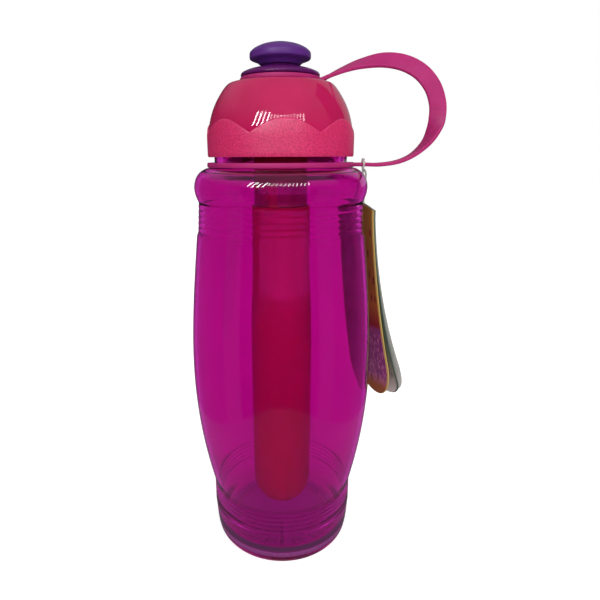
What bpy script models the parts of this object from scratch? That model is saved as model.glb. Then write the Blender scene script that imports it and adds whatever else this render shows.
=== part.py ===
"""Freezable water bottle: ribbed translucent bottle, screw cap with a push-pull spout, twisted carry strap,
freezer stick hanging from the cap and a swing tag on a nylon loop. Metres, +Z up, base centre at the origin."""

import math

import bmesh
import bpy
from mathutils import Matrix, Vector

# Clearances
SEAT_GAP = 0.0003
RUN_GAP = 0.0004
THREAD_SLACK = 0.00035

# Bottle body, from the foot up
FOOT_RADIUS = 0.0334
FOOT_WIDTH = 0.0068
BASE_GROOVE_WIDTH = 0.0024
BASE_GROOVE_DEPTH = 0.0009
FLOOR_THICKNESS = 0.0034
WALL = 0.0019
HEEL_HEIGHT = 0.0160
BASE_BAND_RADIUS = 0.0363
RIB_PITCH = 0.00253
RIB_DEPTH = 0.0005
BASE_RIBS = 5
TOP_RIBS = 5
BARREL_HEIGHT = 0.1330
BARREL_FOOT_STEP = 0.0006
BARREL_TOP_STEP = 0.0012
BELLY_RADIUS = 0.0442
TOP_BAND_RADIUS = 0.0379
TOP_BAND_FLARE = 0.0005
SHOULDER_HEIGHT = 0.0153
SHOULDER_SHELF = 0.0006
# Bulge below the rim: radius beyond the top band's, and drop below the shoulder's top
SHOULDER_BULGE = (
    (-0.0029, 0.0006),
    (-0.0011, 0.0018),
    (0.0004, 0.0037),
    (0.0013, 0.0062),
    (0.0016, 0.0088),
    (0.0012, 0.0115),
)
COLLAR_RADIUS = 0.0299
COLLAR_HEIGHT = 0.0064
NECK_RADIUS = 0.0283
NECK_WALL = 0.0020
NECK_HEIGHT = 0.0124

# Screw thread between neck and cap
THREAD_PITCH = 0.0050
THREAD_TURNS = 1.25
THREAD_DEPTH = 0.0015
THREAD_ROOT = 0.0022
THREAD_CREST = 0.0012
THREAD_START = 0.0040

# Cap
CAP_ABOVE_SHOULDER = 0.0048
CAP_WALL = 0.0021
CAP_CROWN = 0.0145
CAP_PLATE = 0.0020
CAP_SIDE_HEIGHT = 0.0088
CAP_SIDE_RADIUS = 0.0322
SKIRT_STEP = 0.0006
SCALLOPS = 7
SCALLOP_PEAK = 0.0149
SCALLOP_VALLEY = 0.0093
SCALLOP_TURN = 3.5
GASKET_THICKNESS = 0.0015
GASKET_WIDTH = 0.0026

# Stick socket under the cap
SOCKET_RADIUS = 0.0124
SOCKET_WALL = 0.0015
SOCKET_DEPTH = 0.0495
SLOT_TURN = 70.0
SLOT_WIDTH = 0.0050
LUG_WIDTH = 0.0040
LUG_HEIGHT = 0.0024
LUG_RISE = 0.0068
WINDOWS = 4
WINDOW_WIDTH = 0.0070
WINDOW_HEIGHT = 0.0130
WINDOW_DROP = 0.0050

# Freezer stick
STICK_TOP_RADIUS = 0.0136
STICK_RADIUS = 0.0150
STICK_WALL = 0.0015
STICK_LENGTH = 0.1557
PLUG_FLANGE = 0.0022
PLUG_SPIGOT = 0.0165
PLUG_SKIRT = 0.0058
GEL_AIR_GAP = 0.0012

# Spout
STEM_RADIUS = 0.0092
STEM_LIP = 0.0011
STEM_BORE = 0.0048
FLANGE_RADIUS = 0.0172
FLANGE_HEIGHT = 0.0045
WAIST_RADIUS = 0.0084
TUBE_RADIUS = 0.0059
TUBE_HEIGHT = 0.0069
BEAD = 0.0006
PIN_RADIUS = 0.0022
SPOKE_WIDTH = 0.0012
HEAD_RADIUS = 0.0132
HEAD_HEIGHT = 0.0086
HEAD_CROWN = 0.0034
HEAD_RIM = 0.0030
VALVE_TRAVEL = 0.0040

# Carry strap
TOP_RING_THICKNESS = 0.0019
TOP_RING_RADIUS = 0.0176
NECK_RING_THICKNESS = 0.0022
NECK_RING_RADIUS = 0.0332
STRAP_WIDTH = 0.0074
STRAP_THICKNESS = 0.0017
STRAP_EDGE = 0.0005

# Swing tag
TAG_LEAF_THICKNESS = 0.0003
TAG_LEAF_GAP = 0.0005
TAG_LENGTH = 0.1060
TAG_TIP = 0.0025
TAG_FOOT_SHARE = 0.93
TAG_TOP_WIDTH = 0.0240
TAG_FOOT_WIDTH = 0.0308
TAG_SHOULDER_DROP = 0.0030
TAG_HOLE_RADIUS = 0.0017
TAG_HEADROOM = 0.0049
TAG_HOLE_GAP = 0.00055
TAG_TURN = 30.0
TAG_STAND_OFF = 0.00366
TAG_SIDE_SHIFT = -0.00621
TAG_DROP = 0.0230
# Each leaf: slope beyond the bottle's own side, curl per metre, share of the length where its foot starts to round
TAG_LEAVES = (
    ("tag_front_leaf", -0.0147, 1.05, 0.80),
    ("tag_middle_leaf", -0.0197, 1.61, 0.91),
    ("tag_back_leaf", -0.0287, 2.20, 0.80),
)
LOOP_DIAMETER = 0.0009

# Facets round each turned piece
BODY_FACETS = 36
CAP_FACETS = 48
SKIRT_FACETS = 72
SKIRT_START = 0.021
SMALL_FACETS = 28

# Heights and radii that follow from the stack
BARREL_FOOT_RADIUS = BASE_BAND_RADIUS - BARREL_FOOT_STEP
BARREL_TOP_RADIUS = TOP_BAND_RADIUS + BARREL_TOP_STEP
TOP_BAND_FOOT_RADIUS = TOP_BAND_RADIUS + TOP_BAND_FLARE
SHOULDER_RIM_RADIUS = NECK_RING_RADIUS + SHOULDER_SHELF
BASE_BAND_TOP = HEEL_HEIGHT + BASE_RIBS * RIB_PITCH
BARREL_TOP = BASE_BAND_TOP + BARREL_HEIGHT
TOP_BAND_TOP = BARREL_TOP + TOP_RIBS * RIB_PITCH
SHOULDER_TOP = TOP_BAND_TOP + SHOULDER_HEIGHT
COLLAR_TOP = SHOULDER_TOP + COLLAR_HEIGHT
NECK_TOP = COLLAR_TOP + NECK_HEIGHT
NECK_BORE = NECK_RADIUS - NECK_WALL
BASE_BAND_BORE = BASE_BAND_RADIUS - RIB_DEPTH - WALL
TOP_BAND_BORE = TOP_BAND_RADIUS - RIB_DEPTH - WALL
CAP_BOTTOM = SHOULDER_TOP + CAP_ABOVE_SHOULDER
CAP_BORE = COLLAR_RADIUS + RUN_GAP + 0.0001
CAP_BORE_TOP = COLLAR_TOP + THREAD_START + THREAD_PITCH * THREAD_TURNS + THREAD_ROOT / 2 + RUN_GAP
SEAL_BORE = NECK_BORE + SEAT_GAP + GASKET_WIDTH + RUN_GAP
CAP_LAND = NECK_TOP + GASKET_THICKNESS + 2 * SEAT_GAP
CAP_TOP = CAP_LAND + CAP_CROWN
CAP_PLATE_BOTTOM = CAP_TOP - CAP_PLATE
SOCKET_BORE = SOCKET_RADIUS - SOCKET_WALL
SOCKET_BOTTOM = CAP_PLATE_BOTTOM - SOCKET_DEPTH
STEM_HOLE = STEM_RADIUS + SEAT_GAP
PLUG_TOP_OF_FLANGE = SOCKET_BOTTOM - SEAT_GAP
STICK_TOP = PLUG_TOP_OF_FLANGE - PLUG_FLANGE - SEAT_GAP
STICK_BOTTOM = STICK_TOP - STICK_LENGTH
SPIGOT_RADIUS = SOCKET_BORE - RUN_GAP
TOP_RING_BOTTOM = CAP_TOP + SEAT_GAP
TOP_RING_TOP = TOP_RING_BOTTOM + TOP_RING_THICKNESS
NECK_RING_BOTTOM = SHOULDER_TOP + SEAT_GAP
NECK_RING_TOP = NECK_RING_BOTTOM + NECK_RING_THICKNESS
FLANGE_BOTTOM = TOP_RING_TOP + SEAT_GAP
FLANGE_TOP = FLANGE_BOTTOM + FLANGE_HEIGHT
TUBE_TOP = FLANGE_TOP + TUBE_HEIGHT
HEAD_BOTTOM = FLANGE_TOP + SEAT_GAP
HEAD_TOP = HEAD_BOTTOM + HEAD_HEIGHT
HEAD_BORE = TUBE_RADIUS + BEAD + SEAT_GAP
HEAD_LIP = TUBE_RADIUS + SEAT_GAP

# Strap centre line in the XZ plane: out, up, tilt of the ribbon in degrees. The ends lie in the two rings.
TOP_RING_MIDDLE = TOP_RING_BOTTOM + TOP_RING_THICKNESS / 2
NECK_RING_MIDDLE = NECK_RING_BOTTOM + NECK_RING_THICKNESS / 2
STRAP_ROUTE = (
    (0.0137, TOP_RING_MIDDLE, -90),
    (0.0172, TOP_RING_MIDDLE, -90),
    (0.0209, TOP_RING_BOTTOM + 0.0026, -85),
    (0.0275, TOP_RING_BOTTOM + 0.0053, -74),
    (0.0350, TOP_RING_BOTTOM + 0.0076, -58),
    (0.0445, TOP_RING_BOTTOM + 0.0090, -36),
    (0.0534, TOP_RING_BOTTOM + 0.0079, -22),
    (0.0610, TOP_RING_BOTTOM + 0.0043, -12),
    (0.0664, TOP_RING_BOTTOM - 0.0013, -4),
    (0.0692, TOP_RING_BOTTOM - 0.0077, 3),
    (0.0698, NECK_RING_BOTTOM + 0.0221, 18),
    (0.0690, NECK_RING_BOTTOM + 0.0171, 46),
    (0.0659, NECK_RING_BOTTOM + 0.0107, 74),
    (0.0602, NECK_RING_BOTTOM + 0.0053, 88),
    (0.0533, NECK_RING_BOTTOM + 0.0022, 90),
    (0.0450, NECK_RING_MIDDLE - 0.0001, 90),
    (0.0380, NECK_RING_MIDDLE, 90),
    (0.0312, NECK_RING_MIDDLE, 90),
)

# Tag hole centre on its loop, and the loop's own route: over the strap's root, back over the shoulder, through the tag
TAG_OUT = Vector((math.cos(math.radians(TAG_TURN)), math.sin(math.radians(TAG_TURN)), 0.0))
TAG_ASIDE = Vector((-TAG_OUT.y, TAG_OUT.x, 0.0))
TAG_PIVOT = TAG_OUT * (TOP_BAND_RADIUS + TAG_STAND_OFF) + TAG_ASIDE * TAG_SIDE_SHIFT
TAG_PIVOT.z = SHOULDER_TOP - TAG_DROP
SIDE_SLOPE = (BELLY_RADIUS - TOP_BAND_RADIUS) / (BARREL_HEIGHT / 2)
TAG_HOLE_DROP = TAG_HOLE_RADIUS - TAG_HOLE_GAP - LOOP_DIAMETER / 2


def clear_scene():
    for obj in list(bpy.data.objects):
        bpy.data.objects.remove(obj, do_unlink=True)


def collection(name):
    group = bpy.data.collections.new(name)
    bpy.context.scene.collection.children.link(group)
    return group


def material(name, colour, roughness, transmission=0.0):
    mat = bpy.data.materials.new(name)
    mat.use_nodes = True
    shader = mat.node_tree.nodes["Principled BSDF"]
    shader.inputs["Base Color"].default_value = (*colour, 1.0)
    shader.inputs["Roughness"].default_value = roughness
    shader.inputs["Metallic"].default_value = 0.0
    shader.inputs["Transmission Weight"].default_value = transmission
    mat.diffuse_color = (*colour, 1.0)
    return mat


clear_scene()
PARTS = collection("freezable_water_bottle")
CUTTERS = collection("cutters")


def add_object(name, mesh, mat, group=PARTS):
    obj = bpy.data.objects.new(name, mesh)
    group.objects.link(obj)
    if mat is not None:
        mesh.materials.append(mat)
    if group is CUTTERS:
        obj.hide_render = True
        obj.display_type = "WIRE"
    return obj


def turned(name, outline, facets, mat=None, group=PARTS, ring=False):
    """Turns an outline of (radius, height) points about Z. A ring's outline closes on itself off the axis."""
    mesh = bpy.data.meshes.new(name)
    count = len(outline)
    edges = [(i, i + 1) for i in range(count - 1)]
    if ring:
        edges.append((count - 1, 0))
    mesh.from_pydata([(radius, 0.0, height) for radius, height in outline], edges, [])
    obj = add_object(name, mesh, mat, group)
    screw = obj.modifiers.new("turn", "SCREW")
    screw.axis = "Z"
    screw.angle = 2 * math.pi
    screw.steps = facets
    screw.render_steps = facets
    screw.use_merge_vertices = True
    screw.merge_threshold = 0.00001
    screw.use_smooth_shade = True
    return obj


def join_solid(obj, tool, operation):
    step = obj.modifiers.new(f"{operation.lower()}_{tool.name}", "BOOLEAN")
    step.operation = operation
    step.object = tool
    step.solver = "EXACT"


def swept(name, section, start, angle, steps, rise=0.0, group=CUTTERS):
    """Sweeps a closed section of (radius, height) points through an angle about Z, climbing by rise in all."""
    bm = bmesh.new()
    verts = [bm.verts.new((radius, 0.0, height)) for radius, height in section]
    face = bm.faces.new(verts)
    bmesh.ops.rotate(bm, verts=verts, matrix=Matrix.Rotation(start, 3, "Z"))
    bmesh.ops.spin(
        bm,
        geom=[face, *face.edges, *verts],
        axis=(0, 0, 1),
        cent=(0, 0, 0),
        dvec=(0, 0, rise / steps),
        angle=angle,
        steps=steps,
    )
    bmesh.ops.recalc_face_normals(bm, faces=bm.faces)
    mesh = bpy.data.meshes.new(name)
    bm.to_mesh(mesh)
    bm.free()
    return add_object(name, mesh, None, group)


def block(name, size, centre, turn=0.0, group=CUTTERS):
    """A box of the given size whose centre is first placed, then turned about Z by the angle."""
    bm = bmesh.new()
    bmesh.ops.create_cube(bm, size=1.0)
    bmesh.ops.scale(bm, vec=size, verts=bm.verts)
    bmesh.ops.translate(bm, vec=centre, verts=bm.verts)
    bmesh.ops.rotate(bm, verts=bm.verts, matrix=Matrix.Rotation(turn, 3, "Z"))
    mesh = bpy.data.meshes.new(name)
    bm.to_mesh(mesh)
    bm.free()
    return add_object(name, mesh, None, group)


def smooth_through(points, per_span):
    """Points on a Catmull-Rom curve through the given points, ends kept."""
    ends = [points[0], *points, points[-1]]
    result = []
    for i in range(1, len(ends) - 2):
        before, here, there, after = (Vector(ends[j]) for j in range(i - 1, i + 3))
        for k in range(per_span):
            t = k / per_span
            result.append(tuple(
                0.5 * (2 * here + (there - before) * t
                       + (2 * before - 5 * here + 4 * there - after) * t ** 2
                       + (3 * here - before - 3 * there + after) * t ** 3)
            ))
    result.append(tuple(points[-1]))
    return result


def arc(centre_radius, centre_height, radius, start, end, steps):
    """Points on an arc in the profile plane, angles in degrees from +X towards +Z."""
    angles = [math.radians(start + (end - start) * i / steps) for i in range(steps + 1)]
    return [(centre_radius + radius * math.cos(a), centre_height + radius * math.sin(a)) for a in angles]


def ribs_down(top, count, top_radius, foot_radius):
    """Ribs below a height: a crest and a groove for each, from the groove above the first."""
    outline = [(top_radius - RIB_DEPTH, top - 0.08 * RIB_PITCH)]
    for i in range(count):
        radius = top_radius + (foot_radius - top_radius) * (i + 0.5) / count
        outline.append((radius, top - (i + 0.52) * RIB_PITCH))
        outline.append((radius - RIB_DEPTH, top - (i + 1) * RIB_PITCH))
    return outline


def barrel_down(inset, steps):
    """The belly between the two ribbed bands: a smooth swell, fullest at mid height."""
    outline = []
    for i in range(1, steps):
        t = i / steps
        end = BARREL_TOP_RADIUS + (BARREL_FOOT_RADIUS - BARREL_TOP_RADIUS) * t
        swell = math.sin(math.pi * t) ** 0.92
        radius = end + (BELLY_RADIUS - end) * swell
        outline.append((radius - inset, BARREL_TOP - BARREL_HEIGHT * t))
    return outline


def shoulder_down(inset, skip):
    """The bulge between the neck and the top ribs, moved in by inset and without its first skip points."""
    points = [(TOP_BAND_RADIUS + beyond - inset, SHOULDER_TOP - drop - 0.6 * inset)
              for beyond, drop in SHOULDER_BULGE[skip:]]
    points.append((TOP_BAND_RADIUS - inset, TOP_BAND_TOP + 0.0006))
    return smooth_through(points, 2) if inset == 0 else points


def make_body(mat):
    outer = [
        (NECK_RADIUS - 0.0004, NECK_TOP),
        (NECK_RADIUS, NECK_TOP - 0.0004),
        (NECK_RADIUS, COLLAR_TOP),
        (COLLAR_RADIUS, COLLAR_TOP - 0.0004),
        (COLLAR_RADIUS, SHOULDER_TOP),
        (SHOULDER_RIM_RADIUS, SHOULDER_TOP),
    ]
    outer += shoulder_down(0.0, 0)
    outer += ribs_down(TOP_BAND_TOP, TOP_RIBS, TOP_BAND_RADIUS, TOP_BAND_FOOT_RADIUS)
    outer += barrel_down(0.0, 10)
    outer += ribs_down(BASE_BAND_TOP, BASE_RIBS, BASE_BAND_RADIUS, BASE_BAND_RADIUS)
    outer += smooth_through([
        (BASE_BAND_RADIUS - 0.0003, HEEL_HEIGHT - 0.0030),
        (BASE_BAND_RADIUS - 0.0008, HEEL_HEIGHT * 0.42),
        (FOOT_RADIUS + 0.0013, HEEL_HEIGHT * 0.14),
        (FOOT_RADIUS, 0.0),
    ], 2)
    groove = FOOT_RADIUS - FOOT_WIDTH - BASE_GROOVE_WIDTH / 2
    outer += [
        (groove + BASE_GROOVE_WIDTH / 2, 0.0),
        (groove, BASE_GROOVE_DEPTH),
        (groove - BASE_GROOVE_WIDTH / 2, 0.0),
        (0.0, 0.0),
    ]
    floor = FLOOR_THICKNESS
    inner = [(NECK_BORE, NECK_TOP), (NECK_BORE, SHOULDER_TOP - WALL)]
    inner += shoulder_down(WALL, 1)
    inner += [(TOP_BAND_BORE, TOP_BAND_TOP), (TOP_BAND_BORE + 0.0005, BARREL_TOP)]
    inner += barrel_down(WALL, 6)
    inner += [(BASE_BAND_BORE, BASE_BAND_TOP), (BASE_BAND_BORE, HEEL_HEIGHT)]
    inner += arc(BASE_BAND_BORE - 0.0085, floor + 0.0085, 0.0085, 0, -90, 3)
    inner += [(0.0, floor)]

    body = turned("bottle_body", inner[::-1] + outer, BODY_FACETS, mat)
    join_solid(body, make_neck_thread(), "UNION")
    return body


def ridge_section(root, crest, centre, bite):
    """A trapezium thread section from its root radius to its crest radius, sunk into the wall by bite."""
    inward = -1 if crest > root else 1
    return [
        (root + inward * bite, centre - THREAD_ROOT / 2),
        (crest, centre - THREAD_CREST / 2),
        (crest, centre + THREAD_CREST / 2),
        (root + inward * bite, centre + THREAD_ROOT / 2),
    ]


def make_neck_thread():
    start = COLLAR_TOP + THREAD_START
    section = ridge_section(NECK_RADIUS, NECK_RADIUS + THREAD_DEPTH, start, 0.0005)
    steps = round(BODY_FACETS * THREAD_TURNS)
    angle = 2 * math.pi * THREAD_TURNS
    return swept("neck_thread", section, 0.0, angle, steps, THREAD_PITCH * THREAD_TURNS)


def make_cap_thread():
    """The cap's ridge runs just under the neck's, so that its top flank pulls the cap down."""
    drop = (THREAD_ROOT + THREAD_CREST) / 2 + THREAD_SLACK
    first = math.pi / CAP_FACETS
    start = COLLAR_TOP + THREAD_START - drop + THREAD_PITCH * first / (2 * math.pi)
    section = ridge_section(CAP_BORE, CAP_BORE - THREAD_DEPTH, start, 0.0005)
    steps = round(CAP_FACETS * THREAD_TURNS)
    angle = 2 * math.pi * THREAD_TURNS
    return swept("cap_thread", section, first, angle, steps, THREAD_PITCH * THREAD_TURNS)


# Dome of the cap: radius and drop below the flat top
CAP_DOME = (
    (0.0205, 0.0000),
    (0.0227, 0.0005),
    (0.0244, 0.0020),
    (0.0266, 0.0050),
    (0.0288, 0.0088),
    (0.0305, 0.0130),
    (0.0317, 0.0178),
)


def dome_down():
    points = [(radius, CAP_TOP - drop) for radius, drop in CAP_DOME]
    points.append((CAP_SIDE_RADIUS, CAP_BOTTOM + CAP_SIDE_HEIGHT))
    return smooth_through(points, 2)


def dome_radius(height):
    outline = dome_down()
    for (upper_r, upper_z), (lower_r, lower_z) in zip(outline, outline[1:]):
        if lower_z <= height <= upper_z:
            share = (upper_z - height) / (upper_z - lower_z)
            return upper_r + (lower_r - upper_r) * share
    return CAP_SIDE_RADIUS


def scallop_top(angle):
    """Height of the skirt's wavy edge: broad rounded peaks and narrow valleys, one peak turned to the front."""
    turn = angle - math.radians(-90 + SCALLOP_TURN)
    wave = abs(math.cos(SCALLOPS / 2 * turn))
    return CAP_BOTTOM + SCALLOP_VALLEY + (SCALLOP_PEAK - SCALLOP_VALLEY) * wave


def make_skirt():
    """The thicker matte skirt: a ring laid on the cap's side whose top edge is scalloped."""
    rows = (0.0, 0.6, 0.85, 1.0)
    inner_mark, outer_mark = 1.0, 2.0
    bm = bmesh.new()
    loop = [bm.verts.new((inner_mark, 0, k)) for k in rows] + [bm.verts.new((outer_mark, 0, k)) for k in rows[::-1]]
    edges = [bm.edges.new((loop[i], loop[(i + 1) % len(loop)])) for i in range(len(loop))]
    bmesh.ops.spin(bm, geom=loop + edges, axis=(0, 0, 1), cent=(0, 0, 0), angle=2 * math.pi,
                   steps=SKIRT_FACETS, use_merge=True)
    for vert in bm.verts:
        angle = math.atan2(vert.co.y, vert.co.x) + SKIRT_START
        outside = math.hypot(vert.co.x, vert.co.y) > (inner_mark + outer_mark) / 2
        height = CAP_BOTTOM + (scallop_top(angle) - CAP_BOTTOM) * vert.co.z
        radius = dome_radius(height) + (SKIRT_STEP if outside else -CAP_WALL / 2)
        vert.co = (radius * math.cos(angle), radius * math.sin(angle), height)
    bmesh.ops.recalc_face_normals(bm, faces=bm.faces)
    mesh = bpy.data.meshes.new("skirt")
    bm.to_mesh(mesh)
    bm.free()
    return add_object("skirt", mesh, None, CUTTERS)


def make_cap(mat):
    outer = [(STEM_HOLE, CAP_TOP)] + dome_down()
    outer += [(CAP_SIDE_RADIUS, CAP_BOTTOM + SEAT_GAP), (CAP_BORE, CAP_BOTTOM + SEAT_GAP)]
    land_radius = NECK_BORE - 0.0003
    inner = [(CAP_BORE, CAP_BORE_TOP), (SEAL_BORE, CAP_BORE_TOP + CAP_BORE - SEAL_BORE)]
    inner += [(SEAL_BORE, CAP_LAND), (land_radius, CAP_LAND)]
    for radius, drop in reversed(CAP_DOME[:5]):
        if CAP_TOP - drop - CAP_PLATE > CAP_LAND + 0.0010:
            inner.append((radius - CAP_WALL, CAP_TOP - drop - CAP_PLATE))
    inner += [
        (SOCKET_RADIUS, CAP_PLATE_BOTTOM),
        (SOCKET_RADIUS, SOCKET_BOTTOM),
        (SOCKET_BORE, SOCKET_BOTTOM),
        (SOCKET_BORE, CAP_PLATE_BOTTOM),
        (STEM_HOLE, CAP_PLATE_BOTTOM),
    ]
    cap = turned("cap_shell", outer + inner, CAP_FACETS, mat, ring=True)
    join_solid(cap, make_skirt(), "UNION")
    join_solid(cap, make_cap_thread(), "UNION")
    for i in range(WINDOWS):
        size = (4 * SOCKET_WALL, WINDOW_WIDTH, WINDOW_HEIGHT)
        centre = (SOCKET_RADIUS - SOCKET_WALL / 2, 0, CAP_PLATE_BOTTOM - WINDOW_DROP - WINDOW_HEIGHT / 2)
        window = block(f"window_{i}", size, centre, 2 * math.pi * (i + 0.5) / WINDOWS)
        join_solid(cap, window, "DIFFERENCE")
    for i in range(2):
        for cutter in make_slot(i, math.pi * i):
            join_solid(cap, cutter, "DIFFERENCE")
    return cap


def lug_level():
    return SOCKET_BOTTOM + LUG_RISE


def make_slot(index, turn):
    """An L-shaped bayonet slot: an entry up from the socket's mouth and a level run to the locked end."""
    reach = SOCKET_RADIUS + SOCKET_WALL
    low = lug_level() - RUN_GAP
    high = lug_level() + LUG_HEIGHT + RUN_GAP
    inside = SOCKET_BORE - SOCKET_WALL
    side = (SLOT_WIDTH / 2) / SOCKET_RADIUS
    section = [(inside, low), (reach, low), (reach, high), (inside, high)]
    run = swept(f"slot_run_{index}", section, turn - side, math.radians(SLOT_TURN) + 2 * side, 10)
    entry_height = high - SOCKET_BOTTOM + 0.0020
    centre = ((inside + reach) / 2, 0, high - entry_height / 2)
    entry = block(f"slot_entry_{index}", (reach - inside, SLOT_WIDTH, entry_height), centre,
                  turn + math.radians(SLOT_TURN))
    return run, entry


def make_gasket(mat):
    inner = NECK_BORE + SEAT_GAP
    low = NECK_TOP + SEAT_GAP
    high = low + GASKET_THICKNESS
    edge = 0.0003
    outline = [
        (inner, high - edge),
        (inner + edge, high),
        (inner + GASKET_WIDTH - edge, high),
        (inner + GASKET_WIDTH, high - edge),
        (inner + GASKET_WIDTH, low + edge),
        (inner + GASKET_WIDTH - edge, low),
        (inner + edge, low),
        (inner, low + edge),
    ]
    return turned("cap_gasket", outline, CAP_FACETS, mat, ring=True)


def make_spout_base(mat):
    """Flange, hollow stem snapped through the cap's top, and the tube whose pin shuts the spout."""
    lip_top = CAP_PLATE_BOTTOM - SEAT_GAP
    stem_bottom = lip_top - 0.0024
    outline = [
        (STEM_BORE, TUBE_TOP),
        (TUBE_RADIUS - 0.0002, TUBE_TOP),
        (TUBE_RADIUS + BEAD, TUBE_TOP - 0.0006),
        (TUBE_RADIUS + BEAD, TUBE_TOP - 0.0011),
        (TUBE_RADIUS, TUBE_TOP - 0.0015),
        (TUBE_RADIUS, FLANGE_TOP),
        (WAIST_RADIUS, FLANGE_TOP),
    ]
    outline += smooth_through([
        (WAIST_RADIUS + 0.0004, FLANGE_TOP - 0.0002),
        (WAIST_RADIUS + 0.0023, FLANGE_TOP - 0.0009),
        (FLANGE_RADIUS - 0.0030, FLANGE_TOP - 0.0018),
        (FLANGE_RADIUS - 0.0006, FLANGE_TOP - 0.0028),
        (FLANGE_RADIUS, FLANGE_BOTTOM + 0.0008),
    ], 2)
    outline += [
        (FLANGE_RADIUS - 0.0002, FLANGE_BOTTOM),
        (STEM_RADIUS, FLANGE_BOTTOM),
        (STEM_RADIUS, lip_top),
        (STEM_RADIUS + STEM_LIP, lip_top),
        (STEM_RADIUS + STEM_LIP, lip_top - 0.0008),
        (STEM_RADIUS, stem_bottom),
        (STEM_BORE, stem_bottom),
    ]
    base = turned("spout_base", outline, SMALL_FACETS, mat, ring=True)
    pin_foot = stem_bottom + 0.0008
    pin_tip = TUBE_TOP + 0.0014
    pin = turned("pin", [
        (0.0, pin_tip), (PIN_RADIUS - 0.0005, pin_tip), (PIN_RADIUS, pin_tip - 0.0005),
        (PIN_RADIUS, pin_foot), (0.0, pin_foot),
    ], 16, None, CUTTERS)
    join_solid(base, pin, "UNION")
    reach = (STEM_BORE + STEM_RADIUS) / 2
    for i in range(3):
        spoke = block(f"spoke_{i}", (reach, SPOKE_WIDTH, 0.0022), (reach / 2, 0, pin_foot + 0.0016),
                      2 * math.pi * i / 3 + 0.15)
        join_solid(base, spoke, "UNION")
    return base


def make_spout_valve(mat):
    """The mushroom head that slides on the tube; its lip stops on the tube's bead when pulled open."""
    rim_top = HEAD_TOP - HEAD_CROWN
    rim_low = rim_top - HEAD_RIM
    hole = PIN_RADIUS + SEAT_GAP
    lip_top = TUBE_TOP - 0.0015 - VALVE_TRAVEL - SEAT_GAP
    outline = [(hole, HEAD_TOP - 0.0002), (hole + 0.0002, HEAD_TOP)]
    outline += smooth_through([
        (0.0052, HEAD_TOP),
        (0.0086, HEAD_TOP - 0.0009),
        (0.0114, HEAD_TOP - 0.0022),
        (HEAD_RADIUS - 0.0002, rim_top),
    ], 2)
    outline += [
        (HEAD_RADIUS, rim_top - 0.0005),
        (HEAD_RADIUS, rim_low + 0.0004),
        (HEAD_RADIUS - 0.0006, rim_low),
        (0.0104, HEAD_BOTTOM + 0.0014),
        (WAIST_RADIUS + 0.0002, HEAD_BOTTOM),
        (HEAD_LIP, HEAD_BOTTOM),
        (HEAD_LIP, lip_top),
        (HEAD_BORE, lip_top + 0.0003),
        (HEAD_BORE, TUBE_TOP + SEAT_GAP),
        (hole, TUBE_TOP + SEAT_GAP),
    ]
    return turned("spout_valve", outline, SMALL_FACETS, mat, ring=True)


def ribbon_section():
    """The ribbon's rounded rectangle, as a closed guide curve."""
    half_w, half_t = STRAP_WIDTH / 2, STRAP_THICKNESS / 2
    corners = [(half_w, half_t), (-half_w, half_t), (-half_w, -half_t), (half_w, -half_t)]
    points = []
    for i, (x, y) in enumerate(corners):
        near = [(x - math.copysign(STRAP_EDGE, x), y), (x, y - math.copysign(STRAP_EDGE, y))]
        points += near[::-1] if i % 2 == 0 else near
    curve = bpy.data.curves.new("ribbon_section", "CURVE")
    curve.dimensions = "2D"
    spline = curve.splines.new("POLY")
    spline.points.add(len(points) - 1)
    for point, (x, y) in zip(spline.points, points):
        point.co = (x, y, 0, 1)
    spline.use_cyclic_u = True
    return add_object("ribbon_section", curve, None, CUTTERS)


def ribbon_mesh():
    """The twisted ribbon, swept along its route and made a mesh with its caps welded."""
    curve = bpy.data.curves.new("ribbon_path", "CURVE")
    curve.dimensions = "3D"
    curve.twist_mode = "MINIMUM"
    curve.bevel_mode = "OBJECT"
    curve.bevel_object = ribbon_section()
    curve.use_fill_caps = True
    route = smooth_through(STRAP_ROUTE, 3)
    spline = curve.splines.new("POLY")
    spline.points.add(len(route) - 1)
    for point, (out, up, tilt) in zip(spline.points, route):
        point.co = (out, 0, up, 1)
        point.tilt = math.radians(90 + tilt)
    path = bpy.data.objects.new("ribbon_path", curve)
    PARTS.objects.link(path)
    bpy.context.view_layer.update()
    graph = bpy.context.evaluated_depsgraph_get()
    mesh = bpy.data.meshes.new_from_object(path.evaluated_get(graph))
    bpy.data.objects.remove(path)
    bm = bmesh.new()
    bm.from_mesh(mesh)
    bmesh.ops.remove_doubles(bm, verts=bm.verts, dist=0.00001)
    bmesh.ops.recalc_face_normals(bm, faces=bm.faces)
    bm.to_mesh(mesh)
    bm.free()
    return mesh


def flat_ring(name, inner, outer, low, high, facets):
    edge = 0.0004
    outline = [
        (inner, high), (outer - edge, high), (outer, high - edge),
        (outer, low + edge), (outer - edge, low), (inner, low),
    ]
    return turned(name, outline, facets, None, CUTTERS, ring=True)


def make_strap(mat):
    strap = add_object("carry_strap", ribbon_mesh(), mat)
    top_ring = flat_ring("strap_top_ring", STEM_RADIUS + RUN_GAP, TOP_RING_RADIUS,
                         TOP_RING_BOTTOM, TOP_RING_TOP, SMALL_FACETS)
    neck_ring = flat_ring("strap_neck_ring", COLLAR_RADIUS + RUN_GAP, NECK_RING_RADIUS,
                          NECK_RING_BOTTOM, NECK_RING_TOP, CAP_FACETS)
    join_solid(strap, top_ring, "UNION")
    join_solid(strap, neck_ring, "UNION")
    return strap


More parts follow.
